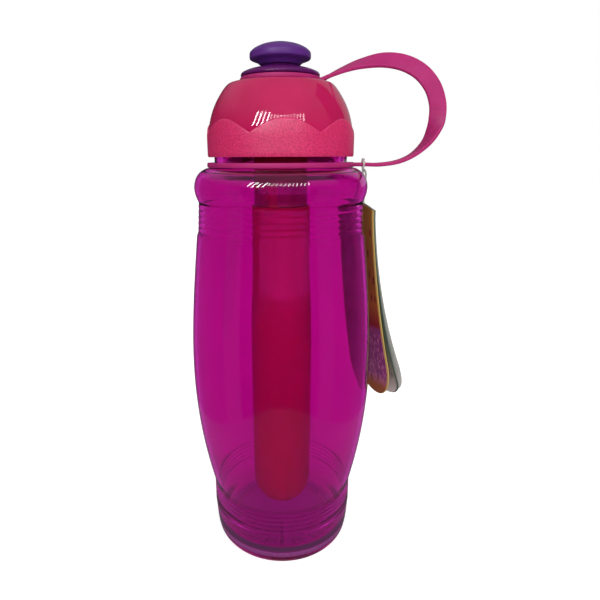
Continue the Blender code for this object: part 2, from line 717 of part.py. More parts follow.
def stick_outline(inset):
    """The stick's side and round end from the top down, moved in by inset."""
    side = smooth_through([
        (STICK_TOP_RADIUS - inset, STICK_TOP),
        (STICK_TOP_RADIUS + 0.0004 - inset, STICK_TOP - 0.0180),
        (STICK_RADIUS - inset, STICK_TOP - 0.0640),
        (STICK_RADIUS - inset, STICK_BOTTOM + STICK_RADIUS + 0.0120),
    ], 2)
    end_radius = STICK_RADIUS - inset
    end = arc(0.0, 0.0, 1.0, 0, -90, 5)
    depth = STICK_RADIUS - inset
    centre = STICK_BOTTOM + STICK_RADIUS
    return side + [(end_radius * x ** 0.75 if x > 1e-6 else 0.0, centre + depth * z) for x, z in end]


def make_stick_tube(mat):
    outer = stick_outline(0.0)
    inner = stick_outline(STICK_WALL)
    return turned("stick_tube", inner[::-1] + outer, SMALL_FACETS, mat)


def make_freezer_gel(mat):
    top = STICK_TOP - PLUG_SKIRT - GEL_AIR_GAP
    inset = STICK_WALL + SEAT_GAP
    outline = [(radius, height) for radius, height in stick_outline(inset) if height < top]
    upper = STICK_TOP_RADIUS - inset
    return turned("freezer_gel", [(0.0, top), (upper, top)] + outline, SMALL_FACETS, mat)


def make_stick_plug(mat):
    """Closes the stick and carries two lugs that lock in the cap's socket."""
    skirt = STICK_TOP_RADIUS - STICK_WALL - SEAT_GAP
    flange_low = STICK_TOP + SEAT_GAP
    top = PLUG_TOP_OF_FLANGE + PLUG_SPIGOT
    recess = SPIGOT_RADIUS - 0.0016
    outline = [
        (0.0, PLUG_TOP_OF_FLANGE + 0.0012),
        (recess, PLUG_TOP_OF_FLANGE + 0.0012),
        (recess, top),
        (SPIGOT_RADIUS - 0.0004, top),
        (SPIGOT_RADIUS, top - 0.0004),
        (SPIGOT_RADIUS, PLUG_TOP_OF_FLANGE),
        (STICK_TOP_RADIUS - 0.0003, PLUG_TOP_OF_FLANGE),
        (STICK_TOP_RADIUS, PLUG_TOP_OF_FLANGE - 0.0003),
        (STICK_TOP_RADIUS, flange_low),
        (skirt, flange_low),
        (skirt, STICK_TOP - PLUG_SKIRT),
        (0.0, STICK_TOP - PLUG_SKIRT),
    ]
    plug = turned("stick_plug", outline, SMALL_FACETS, mat)
    foot = SPIGOT_RADIUS - 0.0008
    reach = SOCKET_RADIUS - SEAT_GAP
    for i in range(2):
        centre = ((foot + reach) / 2, 0, lug_level() + LUG_HEIGHT / 2)
        lug = block(f"lug_{i}", (reach - foot, LUG_WIDTH, LUG_HEIGHT), centre, math.pi * i)
        join_solid(plug, lug, "UNION")
    return plug


def leaf_flare(distance, first, slope, curl):
    """How far a leaf stands off the plane of the hole at a distance below it."""
    return first + (SIDE_SLOPE + slope) * distance + curl * distance * distance


def make_tag_leaf(name, first, slope, curl, foot, mat, pivot):
    """One card of the swing tag: narrow head, wider rounded foot, curling away from the bottle."""
    rows, columns = 14, 6
    top = TAG_HEADROOM + TAG_HOLE_RADIUS
    crown = (TAG_FOOT_SHARE ** -0.5 - 1) * (1 - foot) * TAG_LENGTH
    bm = bmesh.new()
    bmesh.ops.create_grid(bm, x_segments=columns, y_segments=rows, size=0.5)
    for vert in bm.verts:
        down = 0.5 - vert.co.y
        side = 2 * vert.co.x
        half = (TAG_TOP_WIDTH + (TAG_FOOT_WIDTH - TAG_TOP_WIDTH) * down ** 1.3) / 2
        rounding = max(0.0, (down - foot) / (1 - foot))
        half *= math.sqrt(1 - TAG_FOOT_SHARE * rounding ** 2)
        head = max(0.0, 1 - down / 0.15) * max(0.0, abs(side) - 0.3) / 0.7
        tip = (TAG_TIP - crown * side * side) * rounding
        drop = TAG_LENGTH * down + tip + TAG_SHOULDER_DROP * head
        below = drop - top
        vert.co = (side * half, leaf_flare(max(0.0, below), first, slope, curl), -below - TAG_HOLE_DROP)
    bmesh.ops.recalc_face_normals(bm, faces=bm.faces)
    mesh = bpy.data.meshes.new(name)
    bm.to_mesh(mesh)
    bm.free()
    leaf = add_object(name, mesh, mat)
    leaf.parent = pivot
    thick = leaf.modifiers.new("card", "SOLIDIFY")
    thick.thickness = TAG_LEAF_THICKNESS
    thick.offset = 0.0
    hole = cross_cylinder(f"{name}_hole", TAG_HOLE_RADIUS, 0.010, -TAG_HOLE_DROP)
    hole.parent = pivot
    join_solid(leaf, hole, "DIFFERENCE")
    return leaf


def cross_cylinder(name, radius, length, height):
    """A cylinder along local Y, for cutting a hole through a card."""
    bm = bmesh.new()
    bmesh.ops.create_cone(bm, cap_ends=True, segments=16, radius1=radius, radius2=radius, depth=length)
    bmesh.ops.rotate(bm, verts=bm.verts, matrix=Matrix.Rotation(math.pi / 2, 3, "X"))
    bmesh.ops.translate(bm, verts=bm.verts, vec=(0, 0, height))
    mesh = bpy.data.meshes.new(name)
    bm.to_mesh(mesh)
    bm.free()
    return add_object(name, mesh, None, CUTTERS)


def make_tag(mats):
    """Three leaves through one loop. Local +Y points away from the bottle; the hinge lies along local X."""
    pivot = bpy.data.objects.new("tag_pivot", None)
    PARTS.objects.link(pivot)
    pivot.location = TAG_PIVOT
    pivot.rotation_euler = (0, 0, math.radians(TAG_TURN - 90))
    pitch = TAG_LEAF_THICKNESS + TAG_LEAF_GAP
    for i, (name, slope, curl, foot) in enumerate(TAG_LEAVES):
        make_tag_leaf(name, (i - 1) * pitch, slope, curl, foot, mats[i], pivot)


def make_tag_loop(mat):
    """A nylon loop fastener: round the strap's root, back over the shoulder and through the leaves."""
    level = NECK_RING_MIDDLE
    top = NECK_RING_TOP + SEAT_GAP + LOOP_DIAMETER / 2 + 0.0002
    under = NECK_RING_BOTTOM - SEAT_GAP - LOOP_DIAMETER / 2 - 0.0002
    side = STRAP_WIDTH / 2 + SEAT_GAP + LOOP_DIAMETER / 2 + 0.0002
    hole = TAG_PIVOT
    out = TAG_OUT
    reach = TOP_BAND_RADIUS
    route = [
        Vector((reach - 0.0007, -side, level)),
        Vector((reach - 0.0005, -side + 0.0012, top)),
        Vector((reach - 0.0003, 0.0, top + 0.0002)),
        Vector((reach - 0.0001, side - 0.0012, top)),
        Vector((reach + 0.0001, side + 0.0003, level)),
        Vector((reach + 0.0015, side + 0.0038, level - 0.0060)),
        Vector((reach + 0.0024, 0.0116, SHOULDER_TOP - 0.0110)),
        hole + out * 0.0029 + Vector((0, 0, 0.0046)),
        hole + out * 0.0027 + Vector((0, 0, 0.0014)),
        hole + out * 0.0014,
        hole,
        hole - out * 0.0014,
        hole - out * 0.0024 + Vector((0, 0, 0.0014)),
        Vector((reach + 0.0005, 0.0124, SHOULDER_TOP - 0.0170)),
        Vector((reach + 0.0016, 0.0098, SHOULDER_TOP - 0.0110)),
        Vector((reach + 0.0019, 0.0040, SHOULDER_TOP - 0.0042)),
        Vector((reach + 0.0004, -0.0012, under - 0.0006)),
        Vector((reach - 0.0007, -side + 0.0009, under)),
    ]
    wrapped = [route[-1], *route, route[0], route[1]]
    points = []
    per_span = 3
    for i in range(1, len(wrapped) - 2):
        points += smooth_through(wrapped[i - 1:i + 3], per_span)[per_span:2 * per_span]
    curve = bpy.data.curves.new("tag_loop", "CURVE")
    curve.dimensions = "3D"
    curve.bevel_depth = LOOP_DIAMETER / 2
    curve.bevel_resolution = 1
    spline = curve.splines.new("POLY")
    spline.points.add(len(points) - 1)
    for point, place in zip(spline.points, points):
        point.co = (*place, 1)
    spline.use_cyclic_u = True
    loop = add_object("tag_loop", curve, mat)
    return loop


MAGENTA = material("magenta_copolyester", (0.35, 0.004, 0.19), 0.08, 0.6)
CRIMSON = material("crimson_copolyester", (0.52, 0.02, 0.11), 0.2, 0.3)
PINK_TPE = material("pink_elastomer", (0.55, 0.03, 0.22), 0.45)
PURPLE = material("purple_polypropylene", (0.15, 0.03, 0.29), 0.5)
PURPLE_GLOSS = material("purple_flange", (0.13, 0.005, 0.09), 0.15)
SILICONE = material("clear_silicone", (0.7, 0.66, 0.66), 0.5)
STICK = material("crimson_stick", (0.5, 0.02, 0.10), 0.3, 0.3)
GEL = material("freezer_gel", (0.45, 0.05, 0.12), 0.6)
AMBER_CARD = material("amber_card", (0.25, 0.10, 0.02), 0.5)
TEAL_CARD = material("teal_card", (0.05, 0.11, 0.09), 0.5)
WHITE_CARD = material("white_card", (0.8, 0.8, 0.78), 0.6)
NYLON = material("clear_nylon", (0.75, 0.74, 0.72), 0.3)

make_body(MAGENTA)
make_cap(CRIMSON)
make_gasket(SILICONE)
make_spout_base(PURPLE_GLOSS)
make_spout_valve(PURPLE)
make_strap(PINK_TPE)
make_stick_tube(STICK)
make_freezer_gel(GEL)
make_stick_plug(STICK)
make_tag((AMBER_CARD, TEAL_CARD, WHITE_CARD))
make_tag_loop(NYLON)
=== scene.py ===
"""Looks of the freezable water bottle: smooth moulded shells, finishes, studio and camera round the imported
frame. Metres, +Z up, base centre at the origin. Lengths repeat the part's own values, except that the ribs
are shallower and the ribbed band under the shoulder widens a little more towards its foot."""

import math

import bmesh
import bpy
from mathutils import Matrix, Vector


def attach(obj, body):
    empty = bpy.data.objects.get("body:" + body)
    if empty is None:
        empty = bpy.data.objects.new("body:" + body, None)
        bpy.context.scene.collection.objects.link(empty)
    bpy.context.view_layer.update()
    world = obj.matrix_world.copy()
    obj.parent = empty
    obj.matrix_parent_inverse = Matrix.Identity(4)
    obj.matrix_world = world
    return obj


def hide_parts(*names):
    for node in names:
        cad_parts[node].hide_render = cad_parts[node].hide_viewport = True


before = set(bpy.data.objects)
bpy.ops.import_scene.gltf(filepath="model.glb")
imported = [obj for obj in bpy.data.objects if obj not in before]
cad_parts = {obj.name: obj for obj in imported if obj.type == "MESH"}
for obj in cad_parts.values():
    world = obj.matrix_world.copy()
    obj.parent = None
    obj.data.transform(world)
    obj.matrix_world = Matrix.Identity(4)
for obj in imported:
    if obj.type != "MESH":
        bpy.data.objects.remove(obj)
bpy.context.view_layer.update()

# Facets round the turned pieces
ROUND = 160
SKIRT_ROUND = 360
SOCKET_ROUND = 144
RING_ROUND = 128
STICK_ROUND = 96
PIN_ROUND = 48

# Gap between seated pieces, play between moving ones, and the small edges of a moulding
SEAT_GAP = 0.0003
PLAY = 0.0004
FINE_EDGE = 0.0002
EDGE = 0.0003
SOFT_EDGE = 0.0005

# Bottle heights and radii
WALL = 0.0019
BAND_WALL = WALL + 0.0003
HEEL_TOP = 0.0160
RIB_PITCH = 0.00253
RIB_DEPTH = 0.0002
TOP_RIB_DEPTH = 0.00015
INNER_RIB_DEPTH = RIB_DEPTH * 0.4
RIBS = 5
BASE_BAND = 0.0363
BASE_BAND_TOP = HEEL_TOP + RIBS * RIB_PITCH
BARREL_HEIGHT = 0.1330
BARREL_HEAD = 0.0391
BARREL_FOOT = 0.0357
BARREL_ROWS = 64
BELLY = 0.0442
BELLY_FULLNESS = 0.92
BARREL_TOP = BASE_BAND_TOP + BARREL_HEIGHT
TOP_BAND_TOP = BARREL_TOP + RIBS * RIB_PITCH
TOP_BAND = 0.0379
TOP_BAND_FOOT = 0.0387
SHOULDER_FOOT = TOP_BAND_TOP + 0.0006
SHOULDER_TOP = TOP_BAND_TOP + 0.0153
SHOULDER_RIM = 0.0338
SHOULDER_SINK = 0.6
COLLAR_TOP = SHOULDER_TOP + 0.0064
COLLAR = 0.0299
NECK = 0.0283
NECK_BORE = 0.0263
NECK_BEND = 0.0010
NECK_TOP = COLLAR_TOP + 0.0124
RIM_EDGE = 0.0004
FLOOR = 0.0034
FLOOR_EDGE = 0.0339
FLOOR_BEND = 0.0085
# Shoulder bulge: radius, drop below the shoulder's top
SHOULDER_BULGE = ((0.0350, 0.0006), (0.0368, 0.0018), (0.0383, 0.0037), (0.0392, 0.0062), (0.0395, 0.0088),
                  (0.0391, 0.0115))
# Heel, and the ring groove under the base: radius, height
HEEL = ((BASE_BAND - 0.0003, HEEL_TOP - 0.0030), (BASE_BAND - 0.0008, HEEL_TOP * 0.42),
        (0.0347, HEEL_TOP * 0.14), (0.0334, 0.0))
BASE_GROOVE = ((0.0278, 0.0), (0.0274, 0.0005), (0.0266, 0.0009), (0.0258, 0.0005), (0.0254, 0.0), (0.0, 0.0))

# Screw thread, and how far the cap's ridge sits below the neck's
THREAD_START = COLLAR_TOP + 0.0040
THREAD_PITCH = 0.0050
THREAD_TURNS = 1.25
THREAD_HEIGHT = 0.0015
THREAD_HALF_WIDTH = 0.0011
THREAD_BITE = 0.0004
THREAD_TIP = 0.08
THREAD_RUN_OUT = math.radians(25)
THREAD_LAP = 0.00205

# Cap heights and radii
CAP_BOTTOM = SHOULDER_TOP + 0.0048
CAP_BORE = COLLAR + 0.0005
CAP_BORE_TOP = COLLAR_TOP + 0.01175
SEAL_BORE = NECK_BORE + 0.0033
SEAL_SLOPE = 0.0008
CAP_LAND = NECK_TOP + 0.0021
CAP_TOP = CAP_LAND + 0.0145
CAP_FLAT = 0.0190
CAP_PLATE = 0.0020
CAP_PLATE_LOW = CAP_TOP - CAP_PLATE
CAP_WALL = 0.0021
CAP_SIDE = 0.0322
CAP_SIDE_TOP = CAP_BOTTOM + 0.0088
CAP_LIP = 0.0009
# Dome: radius, drop below the cap's top. The first of these are the inside's too, a wall further in
CAP_DOME = ((0.0205, 0.0000), (0.0227, 0.0005), (0.0244, 0.0020), (0.0266, 0.0050), (0.0288, 0.0088),
            (0.0305, 0.0130), (0.0317, 0.0178))
INNER_DOME = CAP_DOME[:5]

# Skirt: share of the height up to the wavy edge, how far it stands proud of the dome, last the hidden back
SKIRT_STEP = 0.0006
SKIRT_ROWS = 14
SKIRT_BITE = 0.0009
SKIRT_PROFILE = [(k / SKIRT_ROWS, SKIRT_STEP) for k in range(SKIRT_ROWS)]
SKIRT_PROFILE += [(0.97, SKIRT_STEP), (0.99, SKIRT_STEP * 0.8), (1.0, SKIRT_STEP * 0.4), (1.005, -0.0002)]
SKIRT_PROFILE += [(1.0, -SKIRT_BITE), (0.0, -SKIRT_BITE)]
SCALLOPS = 7
SCALLOP_PEAK_AT = math.radians(-86.5)
SCALLOP_LOW = CAP_BOTTOM + 0.0093
SCALLOP_RISE = 0.0056

# Gasket: an oval section whose middle lies this far outside the neck's bore
GASKET_REACH = 0.0016
GASKET_HALF = 0.00075
GASKET_SPREAD = 0.0006

# Stick socket: four windows and two bayonet slots, angles in degrees
SOCKET = 0.0124
SOCKET_WALL = 0.0015
SOCKET_BOTTOM = CAP_PLATE_LOW - 0.0495
WINDOW_LOW = CAP_PLATE_LOW - 0.0180
WINDOW_HIGH = CAP_PLATE_LOW - 0.0050
WINDOW_HALF_TURN = 15.0
LUG_LEVEL = SOCKET_BOTTOM + 0.0068
LUG_HEIGHT = 0.0024
LUG_WIDTH = 0.0040
LUG_ROOT = 0.0008
SLOT_LOW = LUG_LEVEL - PLAY
SLOT_HIGH = LUG_LEVEL + LUG_HEIGHT + PLAY
SLOT_TURN = 12.5
SLOT_RUN = 95.0
SLOT_ENTRY = 70.0

# Freezer stick and its plug
STICK = 0.0150
STICK_TOP_RADIUS = 0.0136
STICK_WALL = 0.0015
STICK_BLUNTNESS = 0.75
PLUG_TOP = SOCKET_BOTTOM - SEAT_GAP
PLUG_FLOOR = 0.0012
PLUG_SKIRT = 0.0058
SPIGOT_HEIGHT = 0.0165
SPIGOT_WALL = 0.0016
STICK_TOP = PLUG_TOP - 0.0022 - SEAT_GAP
STICK_BOTTOM = STICK_TOP - 0.1557
STICK_END = STICK_BOTTOM + STICK
# Taper: radius, drop below the stick's top
STICK_TAPER = ((STICK_TOP_RADIUS, 0.0), (STICK_TOP_RADIUS, 0.0100), (STICK_TOP_RADIUS + 0.0002, 0.0300),
               (STICK, 0.0600), (STICK, STICK_TOP - STICK_END - 0.0120))

# Strap rings, flange and spout
TOP_RING = 0.0176
TOP_RING_LOW = CAP_TOP + SEAT_GAP
TOP_RING_HIGH = TOP_RING_LOW + 0.0019
NECK_RING = 0.0332
NECK_RING_LOW = SHOULDER_TOP + SEAT_GAP
NECK_RING_HIGH = NECK_RING_LOW + 0.0022
NECK_RING_EDGE = 0.0006
STEM = 0.0092
STEM_TOP = CAP_PLATE_LOW - SEAT_GAP
STEM_LIP = 0.0011
STEM_LIP_EDGE = STEM_TOP - 0.0008
STEM_FOOT = STEM_TOP - 0.0024
SPOUT_BORE = 0.0048
FLANGE = 0.0172
FLANGE_LOW = TOP_RING_HIGH + SEAT_GAP
FLANGE_TOP = FLANGE_LOW + 0.0045
FLANGE_WAIST = 0.0084
FLANGE_BROW = FLANGE_LOW + 0.0009
# Flange: radius, drop below its top
FLANGE_SLOPE = ((0.0088, 0.0002), (0.0107, 0.0009), (FLANGE - 0.0030, 0.0018), (FLANGE - 0.0006, 0.0028))
TUBE = 0.0059
TUBE_TOP = FLANGE_TOP + 0.0069
BEAD = 0.0006
BEAD_LOW = TUBE_TOP - 0.0011
BEAD_FOOT = TUBE_TOP - 0.0015
VALVE_TRAVEL = 0.0040
PIN = 0.0022
PIN_EDGE = 0.0006
PIN_TIP = TUBE_TOP + 0.0014
PIN_DROP = 0.0016
SPOKES = 3
SPOKE = (0.0070, 0.0012, 0.0022)
SPOKE_TURN = 0.15
HEAD = 0.0132
HEAD_LOW = FLANGE_TOP + SEAT_GAP
HEAD_TOP = HEAD_LOW + 0.0086
HEAD_RIM_TOP = HEAD_TOP - 0.0034
HEAD_RIM_LOW = HEAD_RIM_TOP - 0.0030
HEAD_EDGE = 0.0006
# Pull: radius and drop below its top, then radius and rise above its foot
HEAD_CROWN = ((0.0052, 0.0), (0.0086, 0.0009), (0.0114, 0.0022))
HEAD_HOLLOW = ((0.0104, 0.0014), (0.0088, 0.0002))
HEAD_FOOT = 0.0086

STRAP_WIDTH = 0.0074
STRAP_THICKNESS = 0.0017
# Strap centre line: out, up, tilt of the ribbon in degrees
STRAP_ROUTE = (
    (0.0137, TOP_RING_LOW + 0.00095, -90),
    (0.0172, TOP_RING_LOW + 0.00095, -90),
    (0.0209, TOP_RING_LOW + 0.0026, -85),
    (0.0275, TOP_RING_LOW + 0.0053, -74),
    (0.0350, TOP_RING_LOW + 0.0076, -58),
    (0.0445, TOP_RING_LOW + 0.0090, -36),
    (0.0534, TOP_RING_LOW + 0.0079, -22),
    (0.0610, TOP_RING_LOW + 0.0043, -12),
    (0.0664, TOP_RING_LOW - 0.0013, -4),
    (0.0692, TOP_RING_LOW - 0.0077, 3),
    (0.0698, NECK_RING_LOW + 0.0221, 18),
    (0.0690, NECK_RING_LOW + 0.0171, 46),
    (0.0659, NECK_RING_LOW + 0.0107, 74),
    (0.0602, NECK_RING_LOW + 0.0053, 88),
    (0.0533, NECK_RING_LOW + 0.0022, 90),
    (0.0450, NECK_RING_LOW + 0.0010, 90),
    (0.0380, NECK_RING_LOW + 0.0011, 90),
    (0.0312, NECK_RING_LOW + 0.0011, 90),
)

# Swing tag: hinge on its loop, sizes, and the cells of each leaf's grid round the punched hole
TAG_PIVOT = Vector((0.0391, 0.0154, SHOULDER_TOP - 0.0230))
TAG_TURN = 30.0
TAG_HOLE = 0.0017
TAG_HOLE_DROP = 0.0017 - 0.00055 - 0.00045
TAG_LENGTH = 0.1060
TAG_TOP = 0.0049 + TAG_HOLE
TAG_HEAD_WIDTH = 0.0240
TAG_HOLE_WIDTH = 0.0243
TAG_WIDENING = 0.0068
TAG_WIDENING_POWER = 1.3
TAG_CORNER = 0.0030
TAG_CORNER_SHARE = 0.15
TAG_CORNER_START = 0.3
TAG_TIP = 0.0025
TAG_ROUND = 0.93
TAG_THICKNESS = 0.0003
TAG_COLUMNS = 24
TAG_ROWS = 90
HOLE_DOWN = TAG_TOP / TAG_LENGTH
HOLE_CELLS = (2 / TAG_COLUMNS, 2.6 / TAG_ROWS)
HOLE_REACH = (3 / TAG_COLUMNS, 4 / TAG_ROWS)
GRID_EDGE = 0.499
# Each leaf: node, offset, slope, curl per metre, share of its length where its foot starts to round
TAG_LEAVES = (
    ("tag_front_leaf", -0.0008, 0.080, 1.05, 0.80),
    ("tag_middle_leaf", 0.0, 0.075, 1.61, 0.91),
    ("tag_back_leaf", 0.0008, 0.066, 2.20, 0.80),
)
# Printing: size of the small shapes, where the fine cells' lines and the border start
SPOT_SIZE = 0.2
CELL_LINE = 0.42
CELLS_PER_SPOT = 4
BORDER_START = 0.455

# Studio: how much of the white floor and room shows through the clear wall, and the floor's own lift
WHITE = (1.0, 1.0, 1.0, 1.0)
FLOOR_SEEN = 0.5
ROOM_SEEN = 0.88
FLOOR_LIFT = 0.62
FLOOR_SIZE = 3.0
SHEET_SIZE = (0.14, 0.20, 1.0)
SHEET_LIFT = 0.0002
LAMP_AIM = Vector((0, 0, 0.12))

# Camera: focal length and frame in pixels, film width in millimetres, tilt and roll in degrees
FOCAL_PIXELS = 485
FRAME_PIXELS = 600
FILM_WIDTH = 36
CAMERA_PLACE = (0, -0.230, 0.194)
CAMERA_TILT = 16.33
CAMERA_ROLL = 0.25
CAMERA_SHIFT = 0.0322


# Shaping

def smooth_through(points, per_span):
    """A Catmull-Rom curve through the points, ends kept."""
    ends = [points[0], *points, points[-1]]
    result = []
    for i in range(1, len(ends) - 2):
        before, here, there, after = (Vector(ends[j]) for j in range(i - 1, i + 3))
        for k in range(per_span):
            t = k / per_span
            result.append(tuple(
                0.5 * (2 * here + (there - before) * t
                       + (2 * before - 5 * here + 4 * there - after) * t ** 2
                       + (3 * here - before - 3 * there + after) * t ** 3)
            ))
    result.append(tuple(points[-1]))
    return result


def arc(radius, height, reach, start, end, steps):
    """Points on an arc in the profile plane, angles in degrees from outward towards up."""
    angles = [math.radians(start + (end - start) * i / steps) for i in range(steps + 1)]
    return [(radius + reach * math.cos(a), height + reach * math.sin(a)) for a in angles]


def placed(name, bm):
    """Writes a bmesh out as an object in the scene."""
    mesh = bpy.data.meshes.new(name)
    bm.to_mesh(mesh)
    bm.free()
    piece = bpy.data.objects.new(name, mesh)
    bpy.context.scene.collection.objects.link(piece)
    return piece


def finished(name, bm, finish, body, *nodes, sharp=35.0):
    """Writes a bmesh out as one smooth piece that rides on a body and stands for CAD nodes."""
    bmesh.ops.remove_doubles(bm, verts=bm.verts, dist=0.000002)
    bm.normal_update()
    bmesh.ops.recalc_face_normals(bm, faces=bm.faces)
    for face in bm.faces:
        face.smooth = True
    for edge in bm.edges:
        if len(edge.link_faces) == 2 and edge.calc_face_angle(0) > math.radians(sharp):
            edge.smooth = False
    piece = placed(name, bm)
    piece.data.materials.append(finish)
    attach(piece, body)
    if nodes:
        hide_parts(*nodes)
    return piece


def spun(outline, ring=False, steps=ROUND):
    """A bmesh turned about Z from an outline of (radius, height). A ring's outline closes on itself."""
    bm = bmesh.new()
    verts = [bm.verts.new((radius, 0, height)) for radius, height in outline]
    pairs = list(zip(verts, verts[1:])) + ([(verts[-1], verts[0])] if ring else [])
    edges = [bm.edges.new(pair) for pair in pairs]
    bmesh.ops.spin(bm, geom=verts + edges, axis=(0, 0, 1), cent=(0, 0, 0), angle=2 * math.pi,
                   steps=steps, use_merge=True)
    return bm


def beads_down(top, high, low, depth, inset=0.0, steps=12):
    """Rounded ribs with narrow grooves, from the top of a band to its foot."""
    outline = []
    for k in range(RIBS * steps + 1):
        turn = k / steps
        crest = abs(math.sin(math.pi * turn))
        radius = high + (low - high) * turn / RIBS - depth * (1 - crest) - inset
        outline.append((radius, top - RIB_PITCH * turn))
    return outline


def barrel_down(inset):
    """The belly: a smooth swell between the two ribbed bands."""
    outline = []
    for i in range(1, BARREL_ROWS):
        t = i / BARREL_ROWS
        end = BARREL_HEAD + (BARREL_FOOT - BARREL_HEAD) * t
        swell = math.sin(math.pi * t) ** BELLY_FULLNESS
        outline.append((end + (BELLY - end) * swell - inset, BARREL_TOP - BARREL_HEIGHT * t))
    return outline


def shoulder_down(inset):
    """The shoulder's bulge. Its inside sinks below it at the rim, and runs level with it at the foot."""
    lowest = SHOULDER_BULGE[-1][1]
    sink = inset * SHOULDER_SINK / lowest
    points = [(radius - inset, SHOULDER_TOP - drop - sink * (lowest - drop))
              for radius, drop in SHOULDER_BULGE]
    points.append((TOP_BAND - inset, SHOULDER_FOOT))
    return smooth_through(points if inset == 0 else points[1:], per_span=6)


def thread_ridge(root, crest, start):
    """A one-start helical ridge whose ends run out into the wall."""
    bm = bmesh.new()
    bite = -THREAD_BITE if crest > root else THREAD_BITE
    section = ((root + bite, -THREAD_HALF_WIDTH), (crest, -THREAD_HALF_WIDTH * 0.5),
               (crest, THREAD_HALF_WIDTH * 0.5), (root + bite, THREAD_HALF_WIDTH))
    verts = [bm.verts.new((radius, 0, height)) for radius, height in section]
    corners = len(verts)
    edges = [bm.edges.new((verts[i], verts[(i + 1) % corners])) for i in range(corners)]
    steps = round(ROUND * THREAD_TURNS)
    sweep = 2 * math.pi * THREAD_TURNS
    bmesh.ops.spin(bm, geom=verts + edges, axis=(0, 0, 1), cent=(0, 0, 0), angle=sweep,
                   steps=steps, dvec=(0, 0, THREAD_PITCH * THREAD_TURNS / steps))
    bm.verts.ensure_lookup_table()
    for index, vert in enumerate(bm.verts):
        along = (index // corners) / steps * sweep
        share = min(1.0, along / THREAD_RUN_OUT, (sweep - along) / THREAD_RUN_OUT)
        radius = math.hypot(vert.co.x, vert.co.y)
        wanted = root + bite + (radius - root - bite) * (THREAD_TIP + (1 - THREAD_TIP) * share)
        vert.co.x *= wanted / radius
        vert.co.y *= wanted / radius
        vert.co.z += start
    bmesh.ops.holes_fill(bm, edges=[e for e in bm.edges if e.is_boundary])
    return bm


def soft_block(bm, size, centre, turn, edge):
    """Adds a box with rounded edges, placed and then turned about Z."""
    made = bmesh.ops.create_cube(bm, size=1.0)["verts"]
    bmesh.ops.scale(bm, vec=size, verts=made)
    bmesh.ops.translate(bm, vec=centre, verts=made)
    edges = list({e for v in made for e in v.link_edges})
    made = bmesh.ops.bevel(bm, geom=edges, offset=edge, segments=3, profile=0.5, affect="EDGES",
                           material=-1)["verts"]
    whole = set(made)
    for vert in made:
        whole.update(e.other_vert(vert) for e in vert.link_edges)
    bmesh.ops.rotate(bm, verts=list(whole), cent=(0, 0, 0), matrix=Matrix.Rotation(turn, 3, "Z"))


# Finishes

def tint(code):
    """sRGB hex to linear colour."""
    parts = [int(code[i:i + 2], 16) / 255 for i in (0, 2, 4)]
    return (*(c / 12.92 if c <= 0.04045 else ((c + 0.055) / 1.055) ** 2.4 for c in parts), 1.0)


def add(tree, kind, inputs=(), links=(), stops=(), **settings):
    """Adds one node with its settings, input values and links, and a colour ramp's (place, hex) stops."""
    node = tree.nodes.new(kind)
    for key, value in settings.items():
        setattr(node, key, value)
    for key, value in dict(inputs).items():
        node.inputs[key].default_value = value
    for key, output in dict(links).items():
        tree.links.new(output, node.inputs[key])
    for place, code in stops[2:]:
        node.color_ramp.elements.new(place)
    for i, (place, code) in enumerate(stops):
        node.color_ramp.elements[i].position = place
        node.color_ramp.elements[i].color = tint(code)
    return node


def finish_start(name):
    """A new material with its node tree and its shader."""
    material = bpy.data.materials.new(name)
    material.use_nodes = True
    tree = material.node_tree
    return material, tree, tree.nodes["Principled BSDF"]


def shader_set(shader, **values):
    """Sets the shader's sockets. Underscores stand for the spaces in their names."""
    for key, value in values.items():
        shader.inputs[key.replace("_", " ")].default_value = value


def shader_wear(tree, shader, hue=None, rough=None, bump=None):
    """Links a finish's colour, roughness and relief to its shader."""
    for socket, node, output in (("Base Color", hue, "Color"), ("Roughness", rough, "Result"),
                                 ("Normal", bump, "Normal")):
        if node:
            tree.links.new(node.outputs[output], shader.inputs[socket])


def clear_magenta():
    """Magenta copolyester, blow moulded: clear, glossy, a little wavy from the mould's flow, a few scuffs."""
    material, tree, shader = finish_start("magenta_copolyester_blow_moulded")
    place = add(tree, "ShaderNodeTexCoord").outputs["Object"]
    shader_set(shader, Transmission_Weight=1.0, IOR=1.57)
    depth = add(tree, "ShaderNodeTexNoise", {"Scale": 30.0, "Detail": 2.0}, {"Vector": place})
    hue = add(tree, "ShaderNodeValToRGB", links={"Fac": depth.outputs["Fac"]},
              stops=((0.3, "D228B1"), (0.7, "D82DB6")))
    scuff = add(tree, "ShaderNodeTexNoise", {"Scale": 900.0, "Detail": 3.0}, {"Vector": place})
    rough = add(tree, "ShaderNodeMapRange",
                {"From Min": 0.6, "From Max": 0.8, "To Min": 0.025, "To Max": 0.09},
                {"Value": scuff.outputs["Fac"]})
    # Flow waves about 25 mm long and hundredths of a millimetre high
    wave = add(tree, "ShaderNodeTexNoise", {"Scale": 40.0, "Detail": 1.0}, {"Vector": place})
    bump = add(tree, "ShaderNodeBump", {"Strength": 0.12, "Distance": 0.0004},
               {"Height": wave.outputs["Fac"]})
    shader_wear(tree, shader, hue, rough, bump)
    return material


